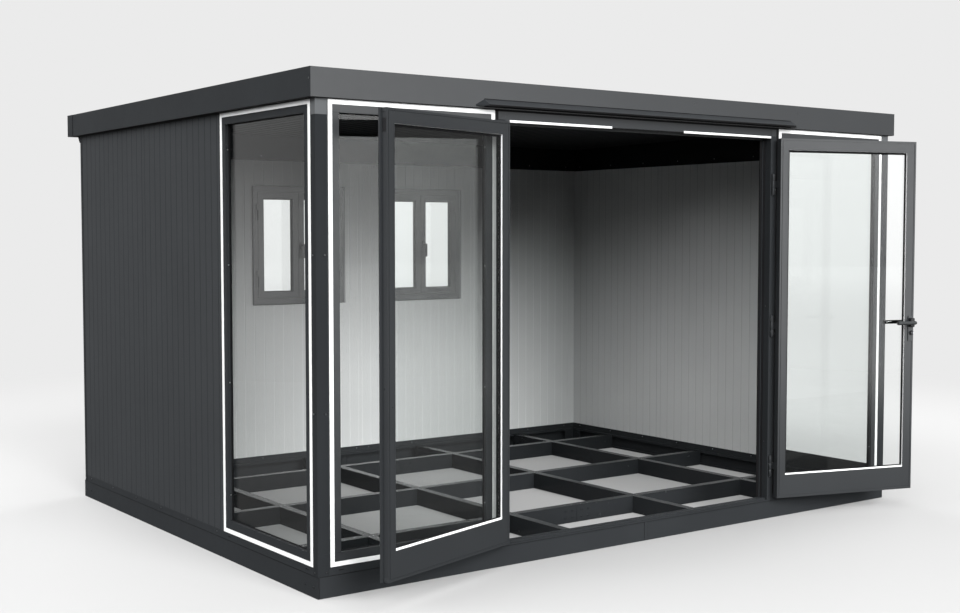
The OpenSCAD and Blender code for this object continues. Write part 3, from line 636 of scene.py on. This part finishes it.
def hinge_details(side, place):
    """Sleeves, end caps and screws of the three hinges of one leaf."""
    rim_r = SLEEVE_R - 0.0005
    shell = [(rim_r, 0.0002), (SLEEVE_R, 0.001), (SLEEVE_R, KNUCKLE_H - 0.001), (rim_r, KNUCKLE_H - 0.0002)]
    cap = [(rim_r, 0.0), (rim_r, 0.0015), (0.0052, 0.0036), (0.002, 0.0045)]
    fixed = Piece(side + "_hinge_sleeves", ANTHRACITE)
    screws = Piece(side + "_hinge_screws", ANTHRACITE)
    turning = Piece(side + "_leaf_hinge_sleeves", ANTHRACITE, side + "_door")
    for z in hinge_heights:
        axis = place @ shift(hinge_x, hinge_y, z)
        for end, flip in ((-1, math.pi), (1, 0)):
            middle = end * (HINGE_H - KNUCKLE_H) / 2
            fixed.turned(shell, axis @ shift(0, 0, middle - KNUCKLE_H / 2), SLEEVE_STEPS)
            tip = shift(0, 0, end * HINGE_H / 2) @ spin(flip, "X")
            fixed.turned(cap, axis @ tip, SLEEVE_STEPS)
            for step in (-0.010, 0.010):
                screws.screw(-0.0175, 0.006, middle + step, (0, -1, 0), 0.0032, axis)
        turning.turned(shell, axis @ shift(0, 0, -KNUCKLE_H / 2), SLEEVE_STEPS)
    finish(fixed, smooth=True)
    finish(screws)
    finish(turning, smooth=True)


for side, place in (("left", LEFT_LEAF), ("right", RIGHT_LEAF)):
    leaf_light(side, place)
    leaf_edges(side, place)
hinge_details("left", HERE)
hinge_details("right", MIRROR)


# ---------- Lever and lock ----------

ROSE_W, ROSE_H, ROSE_CORNER_R = 0.03, 0.054, 0.006
KEY_DROP = 0.062
GRIP_R = 0.0112
GRIP_SETBACK = 0.011


def rounded_rectangle(width, height, radius, inset):
    """Points of a rectangle with arcs at its corners; its sides are moved in by the inset."""
    w, h = width / 2 - inset - radius, height / 2 - inset - radius
    points = []
    for quarter, (sx, sz) in enumerate(((1, 1), (-1, 1), (-1, -1), (1, -1))):
        for i in range(5):
            angle = math.pi / 2 * (quarter + i / 4)
            points.append((sx * w + radius * math.cos(angle), sz * h + radius * math.sin(angle)))
    return points


def lock_details():
    """Roses behind the grips, the key cylinder with its rose and turn, and the grip sleeves, the inner one
    in a lighter copy of the coat as painted light.
    """
    lever_low, lever_high = local_box("door_lever", RIGHT_LEAF)
    lock_low, lock_high = local_box("right_door_lock", RIGHT_LEAF)
    _, _, inner, outer = leaf_measures("right", RIGHT_LEAF)
    spindle_x = (lock_low.x + lock_high.x) / 2
    spindle_z = (lever_low.z + lever_high.z) / 2
    roses = Piece("lever_roses", BLACK_METAL, "right_door")
    cylinder = Piece("key_cylinder", CHROME, "right_door")
    # The inner grip wears the lighter copy of the black lever coat, as painted light
    inner_grip = Piece("lever_inner_grip", LEVER_PAINTED_LIT, "lever")
    outer_grip = Piece("lever_outer_grip", LEVER_METAL, "lever")
    grip_start = spindle_x + 0.0085
    length = grip_start - lever_low.x - 0.0005
    dome = [(GRIP_R * math.sin(a), GRIP_R * 0.6 * (1 - math.cos(a))) for a in (0.35, 0.8, 1.2, math.pi / 2)]
    grip_profile = dome + [(r, length - h) for r, h in reversed(dome)]
    key_x, key_z = spindle_x + 0.006, spindle_z - KEY_DROP
    for grip, face, out, tip_y in ((inner_grip, inner, 1, lever_high.y),
                                   (outer_grip, outer, -1, lever_low.y)):
        rings = []
        for depth, inset in ((0.0, 0.0), (0.0205, 0.0), (0.0225, 0.002), (0.023, 0.005)):
            outline = rounded_rectangle(ROSE_W, ROSE_H, ROSE_CORNER_R, inset)
            rings.append([(x, out * depth, z) for x, z in outline])
        roses.face_points(rings, RIGHT_LEAF @ shift(spindle_x + 0.004, face, spindle_z))
        key = RIGHT_LEAF @ shift(key_x, face, key_z) @ spin(-out * math.pi / 2, "X")
        cylinder.turned([(0.0085, 0.002), (0.0085, 0.016), (0.0075, 0.0175)], key, ROUND_STEPS)
        roses.turned([(0.0135, 0.004), (0.0135, 0.0085), (0.012, 0.010), (0.0088, 0.010)], key, ROUND_STEPS)
        along = shift(grip_start, tip_y - out * GRIP_SETBACK, spindle_z)
        grip.turned(grip_profile, RIGHT_LEAF @ along @ spin(-math.pi / 2, "Y"), ROUND_STEPS)
    turn = RIGHT_LEAF @ shift(key_x, inner, key_z)
    cylinder.block((-0.0035, 0.017, -0.010), (0.0035, 0.027, 0.010), 0.002, turn)
    finish(roses, cylinder, inner_grip, outer_grip, smooth=True)


lock_details()


# ---------- Doorway ----------

KEEPER_HALF_W = 0.26
JAMB_SCREW_HEIGHTS = (0.45, 1.24, 2.04)
THRESHOLD_RIBS = (0.022, 0.034, 0.046)


def doorway_details():
    """Header strips and plates, door seals, jamb screws and the ribs of the threshold."""
    lip_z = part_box("left_door_frame")[1].z + 0.007
    reveal_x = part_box("door_threshold")[0].x
    threshold_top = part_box("door_threshold")[1].z
    strips = Piece("header_strips", WHITE)
    keeper = Piece("header_keeper", RUBBER)
    plates = Piece("header_end_plates", SATIN)
    seals = Piece("doorway_seals", RUBBER)
    fixings = Piece("doorway_screws", BLACK_METAL)
    ribs = Piece("threshold_ribs", FLOOR_STEEL)
    stop_y = front_y + wall_t + 0.007
    seal_foot, seal_top = floor_top + 0.02, lip_z - 0.016
    for place, strip_start in ((HERE, 0.026), (MIRROR, 0.001)):
        strips.block((reveal_x + strip_start, front_y - 0.0025, lip_z - 0.0062),
                     (-KEEPER_HALF_W, front_y + 0.002, lip_z + 0.0058), 0.0008, place)
        plates.block((reveal_x - 0.044, front_y - 0.0016, lip_z + 0.0065),
                     (reveal_x + 0.0005, front_y + SINK, wall_top - 0.0095), 0.0004, place)
        seals.run([(reveal_x + 0.001, stop_y), (reveal_x + 0.001, stop_y - 0.006),
                   (reveal_x + 0.006, stop_y - 0.0068), (reveal_x + 0.011, stop_y - 0.005),
                   (reveal_x + 0.012, stop_y)], seal_foot, seal_top, "z", place)
        seals.block((reveal_x - 0.058, front_y - 0.0012, sill_top),
                    (reveal_x - 0.046, front_y + SINK, wall_top), 0.0006, place)
        for z in JAMB_SCREW_HEIGHTS:
            fixings.screw(reveal_x, front_y + 0.028, z, (1, 0, 0), 0.004, place)
        seals.block((reveal_x + 0.0155, stop_y + 0.0045, seal_foot),
                    (reveal_x + 0.033, stop_y + 0.0115, seal_top), 0.0015, place)
    keeper.block((-KEEPER_HALF_W, front_y - 0.0018, lip_z - 0.0056),
                 (KEEPER_HALF_W, front_y + SINK, lip_z - 0.0016), 0.0006)
    seals.block((-1.1, front_y - 0.0012, wall_top - 0.009), (1.1, front_y + SINK, wall_top), 0.0004)
    for y in THRESHOLD_RIBS:
        ribs.block((reveal_x + 0.004, front_y + y, threshold_top - SINK),
                   (-reveal_x - 0.004, front_y + y + 0.003, threshold_top + 0.0012), 0.0005)
    finish(strips, keeper, plates, seals, fixings, ribs)


doorway_details()


# ---------- Posts, sills and floor frame ----------

POST_SCREW_HEIGHTS = (0.118, 0.844, 1.563)
CAP_H = 0.075
SHOE_H = 0.1
SEAM_DEPTH = 0.003


def post_details():
    """Screws, caps, shoes and seams on the corner posts, a painted shadow line under the fascia, and the
    strips in the room's back corners.
    """
    screws = Piece("post_screws", ZINC)
    caps = Piece("post_caps", CAP_GREY)
    shoes = Piece("post_shoes", DARK_STEEL)
    seams = Piece("wall_seams_and_painted_shadow_line", RUBBER)
    strips = Piece("inner_corner_strips", PANEL_LIGHT)
    # Foot, start and end of each seam on a side wall, then how far it stands out; the first is a dark strip
    # along the wall's top, painted as the shadow line under the fascia
    seam_places = ((wall_top - 0.007, side_low.y, back_y, 0.0006),
                   (floor_top, back_y - wall_t - 0.007, back_y - wall_t + 0.002, 0.0004),
                   (track_top, side_low.y - 0.002, side_low.y + 0.003, 0.0004))
    for place in BOTH_SIDES:
        for z in POST_SCREW_HEIGHTS:
            screws.screw(-half_w + 0.045, front_y, z, (0, -1, 0), 0.0046, place)
            screws.screw(-half_w, front_y + 0.028, z, (-1, 0, 0), 0.0042, place)
            screws.screw(-half_w, back_y - 0.019, z, (-1, 0, 0), 0.0042, place)
            screws.screw(-half_w + 0.024, back_y, z, (0, 1, 0), 0.0042, place)
        for z, y0, y1, proud in seam_places:
            seams.block((-half_w - proud, y0, z), (-half_w + SEAM_DEPTH, y1, wall_top), 0.0003, place)
        for piece, z0, z1, proud in ((caps, wall_top - CAP_H, wall_top - 0.0005, 0.0012),
                                     (shoes, floor_top, floor_top + SHOE_H, 0.0008)):
            piece.block((-half_w - proud, front_y - proud, z0),
                        (-half_w + post_w, front_y + wall_t, z1), 0.0008, place)
        strips.block((-room_half + 0.012, back_low.y - 0.0045, track_top),
                     (-room_half + 0.07, back_low.y - 0.0015, skin_top), 0.001, place)
    finish(screws, caps, shoes, strips, seams)


FLANGE = 0.05
WEB_T = 0.004
CLEAT_W = 0.045
CORNER_CLEAT = 0.09
CORNER_GAP = 0.06
beam_low, beam_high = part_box("floor_beams")
joist_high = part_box("floor_joists")[1]
rail_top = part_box("base_rail_front")[1].z


def frame_fixings():
    """Bolts, screws and cleats where the beams, joists and rails of the floor frame meet."""
    bolts = Piece("floor_bolts", FLOOR_STEEL)
    pins = Piece("floor_screws", ZINC)
    cleats = Piece("floor_cleats", FLOOR_STEEL)
    reach = joist_high.x - FLANGE / 2
    for y in (beam_low.y + FLANGE / 2, 0.0, beam_high.y - FLANGE / 2):
        web, back = y - FLANGE / 2, y + FLANGE / 2
        if y != 0.0:
            for x in (-0.085, -0.035, 0.035, 0.085):
                for z in (0.03, 0.07):
                    bolts.screw(x, web, z, (0, -1, 0), 0.0065)
                pins.screw(x, web + 0.008, rail_top, (0, 0, 1), 0.004)
        for x in (-reach, -reach / 3, reach / 3, reach):
            for z in (0.034, 0.066):
                bolts.screw(x, web, z, (0, -1, 0), 0.006)
            for step in (-0.012, 0.012):
                pins.screw(x + step, web + 0.008, rail_top, (0, 0, 1), 0.0036)
            for length, depth in ((WEB_T, CLEAT_W), (CLEAT_W, WEB_T)):
                cleats.block((x - length, back, 0.012), (x, back + depth, rail_top - 0.012), 0.0008)
    inside = -half_w + CORNER_GAP
    for place in BOTH_SIDES:
        for y0, step in ((back_y - CORNER_GAP, -1), (front_y + CORNER_GAP, 1)):
            for length, depth in ((CORNER_CLEAT, 0.005), (0.005, CORNER_CLEAT)):
                y1, y2 = sorted((y0, y0 + step * depth))
                cleats.block((inside, y1, 0.01), (inside + length, y2, rail_top - 0.01), 0.001, place)
            for z in (0.035, 0.068):
                for distance in (0.03, 0.07):
                    bolts.screw(inside + 0.005, y0 + step * distance, z, (1, 0, 0), 0.005, place)
                    bolts.screw(inside + distance, y0 + step * 0.005, z, (0, step, 0), 0.005, place)
        for y in (front_y + 0.04, front_y + 0.12, back_y - 0.12, back_y - 0.04):
            bolts.screw(-half_w, y, 0.05, (-1, 0, 0), 0.006, place)
    finish(bolts, pins, cleats)


def rail_details():
    """Splice covers in the middle of the long rails, and the seals along the rails' tops and ends."""
    covers = Piece("rail_splice_covers", MATTE)
    seals = Piece("base_seals", RUBBER)
    seam_foot, seam_top = rail_top - 0.0015, rail_top + 0.0015
    for place in BOTH_SIDES:
        seals.block((-half_w - 0.0006, front_y - 0.0006, seam_foot),
                    (-half_w + 0.002, back_y + 0.0006, seam_top), 0.0003, place)
        seals.block((-half_w + 0.003, front_y - 0.0006, 0.0005),
                    (-half_w + 0.007, front_y + 0.002, rail_top - 0.002), 0.0003, place)
    for face, out in ((front_y, -1), (back_y, 1)):
        y0, y1 = sorted((face + out * 0.0015, face - out * SINK))
        covers.block((-0.0115, y0, 0.0005), (0.0115, y1, rail_top - 0.0005), 0.0004)
        y0, y1 = sorted((face + out * 0.0006, face - out * SINK))
        for x in (-0.0135, 0.0115):
            seals.block((x, y0, 0.001), (x + 0.002, y1, rail_top - 0.002), 0.0002)
        seals.block((-half_w, y0, seam_foot), (half_w, y1, seam_top), 0.0003)
    finish(covers, seals)


TRACK_SCREWS = 6
TRACK_SCREW_R = 0.004


def track_details():
    """Screws along the bottom and head tracks of the walls."""
    screws = Piece("track_screws", ZINC)
    low_z, high_z = track_top - 0.015, head_low.z + 0.03
    for place in BOTH_SIDES:
        for i in range(TRACK_SCREWS):
            y = side_low.y + 0.08 + i * (side_high.y - side_low.y - 0.16) / (TRACK_SCREWS - 1)
            screws.screw(-room_half, y, low_z, (1, 0, 0), TRACK_SCREW_R, place)
            screws.screw(-room_half + 0.012, y, high_z, (1, 0, 0), TRACK_SCREW_R, place)
            screws.screw(-half_w, y, low_z, (-1, 0, 0), TRACK_SCREW_R, place)
            x = -room_half + 0.1 + i * (room_half - 0.15) / (TRACK_SCREWS - 1)
            screws.screw(x, back_low.y, low_z, (0, -1, 0), TRACK_SCREW_R, place)
            screws.screw(x, back_low.y - 0.0135, high_z, (0, -1, 0), TRACK_SCREW_R, place)
            screws.screw(x, back_y, low_z, (0, 1, 0), TRACK_SCREW_R, place)
    screws.done()


post_details()
frame_fixings()
rail_details()
track_details()


# ---------- Back windows ----------

SASH_W = 0.307
SASH_GAP = 0.002
SASH_FACE = 0.046
WINDOW_FACE = 0.04
FLASHING_OVERHANG = 0.02
HINGE_CAP_H = 0.112
HINGE_CAP_INSET = 0.121


def window_details():
    """Gaskets, flashings and hinge cap screws of the two double casements."""
    pane_low, pane_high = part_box("back_window_glass")
    seals = Piece("window_gaskets", RUBBER)
    trims = Piece("window_flashings", MATTE)
    pins = Piece("window_hinge_caps", ZINC)
    x0, x1 = window_x - WINDOW_W / 2, window_x + WINDOW_W / 2
    z0, z1 = window_low.z, window_high.z
    inside, outside = window_low.y, window_high.y
    first_pane = x0 + WINDOW_FACE + SASH_GAP + SASH_FACE
    pane_w = SASH_W - 2 * SASH_FACE
    sill = [(-0.004, -0.004), (0.03, -0.014), (0.03, -0.03),
            (0.0285, -0.03), (0.0285, -0.0155), (-0.004, -0.0055)]
    drip = [(-0.004, 0.014), (0.02, 0.006), (0.02, -0.004),
            (0.0185, -0.004), (0.0185, 0.005), (-0.004, 0.0125)]
    for place in BOTH_SIDES:
        for i in (0, 1):
            x = first_pane + i * (SASH_W + SASH_GAP)
            corners = (x, pane_low.z + GLASS_COVER, x + pane_w, pane_high.z - GLASS_COVER)
            gasket(seals, corners, pane_low.y, -1, place, 0.0035)
            gasket(seals, corners, pane_high.y, 1, place, 0.003)
        seals.loop([(-0.003, inside + 0.0045), (0.0005, inside + 0.0045), (0.0005, inside + 0.001),
                    (-0.003, inside + 0.0025)], x0, z0, x1, z1, place)
        for outline, z in ((sill, z0), (drip, z1)):
            trims.run([(outside + dy, z + dz) for dy, dz in outline],
                      x0 - FLASHING_OVERHANG, x1 + FLASHING_OVERHANG, "x", place)
        for side in (-1, 1):
            x = window_x + side * (WINDOW_W / 2 - 0.041 + 0.0135)
            for foot in (z0 + HINGE_CAP_INSET, z1 - HINGE_CAP_INSET - HINGE_CAP_H):
                for z in (foot + 0.012, foot + HINGE_CAP_H / 2, foot + HINGE_CAP_H - 0.012):
                    pins.screw(x, inside - 0.003, z, (0, -1, 0), 0.0025, place)
    finish(seals, trims, pins)


window_details()


# ---------- Roof, fascia and ceiling ----------

SHEET_T = 0.008
ROOF_RIB_PITCH = 0.333
ROOF_CRESTS = 12
ROOF_SCREW_ROWS = 7
CANOPY_END_W = 0.05
BRACKET_R = 0.03
ceiling_low, ceiling_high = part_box("ceiling_panel")
roof_low, roof_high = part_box("roof_panel")
fall = (ceiling_high.z - ceiling_low.z - SHEET_T) / (ceiling_high.y - ceiling_low.y)


def centred(count, pitch):
    """Places of a row of the given pitch whose middle is 0."""
    return [(i - (count - 1) / 2) * pitch for i in range(count)]


def dropped(height, y):
    """Height that follows the fall of the roof from the front edge of the ceiling back to y."""
    return height - fall * (y - ceiling_low.y)


def roof_details():
    """Ribs under the ceiling, and screws with washers on the crests of the roof sheet."""
    ribs = Piece("ceiling_ribs", CEILING_PAINTED_SHADE)
    for x in centred(int(2 * room_half / RIB_PITCH), RIB_PITCH):
        rings = []
        for y in (front_y + wall_t, back_y - wall_t):
            z = dropped(ceiling_high.z - SHEET_T, y)
            rings.append([(x - 0.006, y, z + 0.0005), (x + 0.006, y, z + 0.0005),
                          (x + 0.003, y, z - 0.0022), (x - 0.003, y, z - 0.0022)])
        ribs.face_points(rings, HERE)
    screws = Piece("roof_screws", ZINC)
    washers = Piece("roof_washers", RUBBER)
    row_step = (roof_high.y - roof_low.y - 0.3) / (ROOF_SCREW_ROWS - 1)
    for x in centred(ROOF_CRESTS, ROOF_RIB_PITCH):
        for k in range(ROOF_SCREW_ROWS):
            y = roof_low.y + 0.18 + k * row_step
            z = dropped(roof_high.z, y)
            washers.turned([(0.0085, 0.0), (0.0085, 0.0008), (0.006, 0.0013)],
                           shift(x, y, z - 0.0002), WASHER_STEPS)
            screws.screw(x, y, z + 0.001, (0, 0, 1), 0.0052)
    finish(ribs, screws, washers)


def fascia_details():
    """Fascia screws and seams, black strips painted as shade under the fascia, gutter brackets, and the
    canopy's hipped ends and seals, one of them a dark strip painted as the canopy's shadow line.
    """
    left_low, left_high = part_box("fascia_left")
    front_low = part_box("fascia_front")[0]
    canopy_low, canopy_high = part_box("door_canopy")
    fixings = Piece("fascia_screws", ZINC)
    seals = Piece("fascia_seams_and_painted_canopy_shadow", RUBBER)
    brackets = Piece("gutter_brackets", MATTE)
    ends = Piece("canopy_ends", DARK_STEEL)
    underside_painted_shade = Piece("fascia_underside_painted_shade", RUBBER)
    top, under = left_high.z, left_low.z
    gutter_y = left_high.y - 0.018
    trough = [(gutter_y, under)]
    for i in range(8):
        angle = math.pi / 2 * i / 8
        trough.append((gutter_y + BRACKET_R * (1 - math.cos(angle)), under - 0.04 * math.cos(angle)))
    trough.append((gutter_y + BRACKET_R, under))
    x, y, z = canopy_low.x, canopy_high.y, canopy_low.z + 0.0005
    root = [(x, y, z), (x, y, canopy_high.z), (x, canopy_low.y, z + 0.007), (x, canopy_low.y, z)]
    x -= CANOPY_END_W
    tip = [(x, y, z), (x, y, z + 0.006), (x, y - 0.003, z + 0.005), (x, y - 0.003, z)]
    for place in BOTH_SIDES:
        fixings.screw(left_low.x, front_low.y + 0.012, top - 0.052, (-1, 0, 0), 0.0042, place)
        seals.block((left_low.x - 0.0008, left_high.y - 0.003, under + 0.0005),
                    (left_low.x + SINK, left_high.y + 0.0005, top - 0.0005), 0.0003, place)
        brackets.run(trough, left_low.x + 0.037, left_low.x + 0.06, "x", place)
        ends.face_points([root, tip], place)
        # Black strips under the fascia's sides and front: painted shade on its underside
        underside_painted_shade.block((left_low.x + 0.0035, front_low.y + 0.002, under - 0.0012),
                      (-half_w - 0.0005, left_high.y, under + SINK), 0.0004, place)
        underside_painted_shade.block((-half_w - 0.0005, front_low.y + 0.0035, under - 0.0012),
                      (0, front_y - 0.0025, under + SINK), 0.0004, place)
    # Seals across the canopy: above it, under it and along its lip. The strip under it is a dark band
    # painted as the canopy's shadow line.
    for y, front, back, z, below, above in ((canopy_high.y, 0.0015, SINK, canopy_high.z, 0.0, 0.003),
                                            (canopy_high.y, 0.003, SINK, canopy_low.z, 0.004, 0.004),
                                            (canopy_low.y, 0.0006, 0.012, canopy_low.z, 0.0006, 0.0066)):
        seals.block((canopy_low.x, y - front, z - below), (-canopy_low.x, y + back, z + above), 0.0004)
    finish(fixings, seals, brackets, ends, underside_painted_shade)


roof_details()
fascia_details()


# ---------- Stage, light and camera ----------

PALE = srgb(235, 235, 235)
BRIGHT = srgb(250, 250, 250)

# What mirrors see around the pod
SOURCE_TURN = math.radians(20)
SOURCE_GLOSS = 2.1
FRONT_GLOSS = 0.85
SIDE_GLOSS = 0.3
BACK_GLOSS = 0.5
GROUND_GLOSS = 0.32
HORIZON_SOURCE = 0.58

GROUND_HALF_W = 60.0
GROUND_Z = -0.001
# Colour for the camera, colour for light that bounces, and the share of it right under the pod, where the
# ground is darkened as painted shade
GROUND_SEEN = (0.47, 0.47, 0.47, 1.0)
GROUND_BOUNCE = (0.06, 0.06, 0.06, 1.0)
GROUND_PAINTED_SHADE = 0.88
# Distances from the pod's middle between which the ground changes, in metres
PAINTED_SHADE_RANGE = (1.5, 2.4)
SHADOW_RANGE = (3.0, 9.0)
MIRRORED_RANGE = (4.0, 12.0)
HORIZON_RANGE = (14.0, 50.0)


def background_rays(tree):
    """1 for the rays that show the background: camera, glossy and transmission rays."""
    rays = add_node(tree, "LightPath").outputs
    either = math_node(tree, "MAXIMUM", rays["Is Camera Ray"], rays["Is Glossy Ray"])
    return math_node(tree, "MAXIMUM", either, rays["Is Transmission Ray"])


def mirror_rays(tree):
    """1 for the rays that a surface has reflected, and 0 for those that only passed through glass."""
    return math_node(tree, "MINIMUM", add_node(tree, "LightPath").outputs["Glossy Depth"], 1.0)


def surround_gloss(tree, direction, near_height):
    """Brightness that mirrors see in a direction: a broad soft source in front, dimmer at the back."""
    source = vector_node(tree, "DOT_PRODUCT", direction)
    source.inputs[1].default_value = (math.sin(SOURCE_TURN), -math.cos(SOURCE_TURN), 0.0)
    facing = source.outputs["Value"]
    back = value_ramp(tree, facing, -0.8, 0.2, BACK_GLOSS, SIDE_GLOSS)
    front = value_ramp(tree, facing, 0.7, 0.95, 0.0, FRONT_GLOSS - SIDE_GLOSS)
    near = math_node(tree, "MULTIPLY", value_ramp(tree, facing, 0.92, 1.0, 0.0, SOURCE_GLOSS), near_height)
    return math_node(tree, "ADD", math_node(tree, "ADD", back, front), near)


def make_world(ambient_strength):
    """Pale background, white through glass. Mirrors see the soft source in it."""
    world = bpy.data.worlds.new("studio")
    bpy.context.scene.world = world
    world.use_nodes = True
    tree = world.node_tree
    tree.nodes.clear()
    ambient = add_node(tree, "Background", Color=(1, 1, 1, 1), Strength=ambient_strength)
    direction = add_node(tree, "TexCoord").outputs["Generated"]
    height = value_ramp(tree, split_vector(tree, direction)["Z"], -0.1, 0.08)
    extra = math_node(tree, "SUBTRACT", surround_gloss(tree, direction, height), 1.0)
    strength = math_node(tree, "ADD", math_node(tree, "MULTIPLY", extra, mirror_rays(tree)), 1.0)
    path = add_node(tree, "LightPath")
    seen = add_node(tree, "Background")
    tone = colour_ramp(tree, path.outputs["Is Transmission Ray"], 0.0, 1.0, PALE, BRIGHT)
    tree.links.new(tone, seen.inputs["Color"])
    tree.links.new(strength, seen.inputs["Strength"])
    mix_surface(tree, add_node(tree, "OutputWorld"), background_rays(tree),
                ambient.outputs["Background"], seen.outputs["Background"])


def ground_glow(tree, coords, distance):
    """Glow in the background's tone, white at the horizon through glass and dimmer in mirrors."""
    path = add_node(tree, "LightPath")
    toward = vector_node(tree, "NORMALIZE", coords).outputs["Vector"]
    gloss = math_node(tree, "SUBTRACT", surround_gloss(tree, toward, HORIZON_SOURCE), GROUND_GLOSS)
    gloss = math_node(tree, "MULTIPLY", gloss, value_ramp(tree, distance, *MIRRORED_RANGE))
    extra = math_node(tree, "ADD", gloss, GROUND_GLOSS - 1.0)
    strength = math_node(tree, "ADD", math_node(tree, "MULTIPLY", extra, mirror_rays(tree)), 1.0)
    horizon = value_ramp(tree, distance, *HORIZON_RANGE)
    beyond = math_node(tree, "MULTIPLY", path.outputs["Is Transmission Ray"], horizon)
    glow = add_node(tree, "Emission")
    tree.links.new(colour_ramp(tree, beyond, 0.0, 1.0, PALE, BRIGHT), glow.inputs["Color"])
    tree.links.new(strength, glow.inputs["Strength"])
    return glow.outputs["Emission"]


def make_floor(shadow):
    """Pale ground that shows the background tone, with the object's soft shadow on it and painted shade
    right under the pod.
    """
    w, z = GROUND_HALF_W, GROUND_Z
    mesh = bpy.data.meshes.new("ground")
    mesh.from_pydata([(-w, -w, z), (w, -w, z), (w, w, z), (-w, w, z)], [], [(0, 1, 2, 3)])
    ground = bpy.data.objects.new("ground", mesh)
    bpy.context.scene.collection.objects.link(ground)
    material, tree, shader = new_material("pale_ground")
    set_inputs(shader, **{"Roughness": 1.0, "Specular IOR Level": 0.0})
    coords = add_node(tree, "TexCoord").outputs["Object"]
    distance = vector_node(tree, "LENGTH", coords).outputs["Value"]
    path = add_node(tree, "LightPath")
    dim = math_node(tree, "MAXIMUM", path.outputs["Is Diffuse Ray"], mirror_rays(tree))
    tone = colour_ramp(tree, dim, 0.0, 1.0, GROUND_SEEN, GROUND_BOUNCE)
    # Painted shade: the ground's colour is darkened right under the pod
    under = value_ramp(tree, distance, *PAINTED_SHADE_RANGE, GROUND_PAINTED_SHADE, 1.0)
    tree.links.new(scaled_vector(tree, tone, under), shader.inputs["Base Color"])
    fade = value_ramp(tree, distance, *SHADOW_RANGE, 1.0 - shadow, 1.0)
    glowing = math_node(tree, "MULTIPLY", fade, background_rays(tree))
    mix_surface(tree, tree.nodes["Material Output"], glowing, shader.outputs["BSDF"],
                ground_glow(tree, coords, distance))
    mesh.materials.append(material)


def soft_sun(name, azimuth, elevation, spread, strength):
    """Broad even light. Azimuth 0 comes from the front of the pod and 90 from its right."""
    light = bpy.data.lights.new(name, "SUN")
    light.angle = math.radians(spread)
    light.energy = strength
    turn, rise = math.radians(azimuth), math.radians(elevation)
    toward = Vector((math.sin(turn) * math.cos(rise), -math.cos(turn) * math.cos(rise), math.sin(rise)))
    lamp = bpy.data.objects.new(name, light)
    lamp.rotation_euler = (-toward).to_track_quat("-Z", "Y").to_euler()
    lamp.visible_glossy = False
    bpy.context.scene.collection.objects.link(lamp)


def make_camera(place, tilt, turn, lens):
    """Camera at a place, tilted down and turned from the pod's depth towards its width, in radians."""
    data = bpy.data.cameras.new("camera")
    data.lens = lens
    data.sensor_width = 36
    camera = bpy.data.objects.new("camera", data)
    camera.location = place
    camera.rotation_euler = (math.pi / 2 - tilt, 0, -turn)
    bpy.context.scene.collection.objects.link(camera)
    bpy.context.scene.camera = camera


bpy.context.scene.view_settings.view_transform = "Standard"
make_world(0.12)
make_floor(0.85)
make_camera((-4.968, -6.857, 1.66), 0.0542, 0.6288, 50.43)
soft_sun("key_light", -48, 27, 42, 2.4)
soft_sun("front_light", 0, 23, 36, 4.6)
soft_sun("left_light", -110, 35, 45, 2.1)
soft_sun("top_light", 0, 80, 60, 0.9)
soft_sun("right_light", 100, 30, 45, 1.8)
soft_sun("back_light", 180, 30, 45, 1.8)
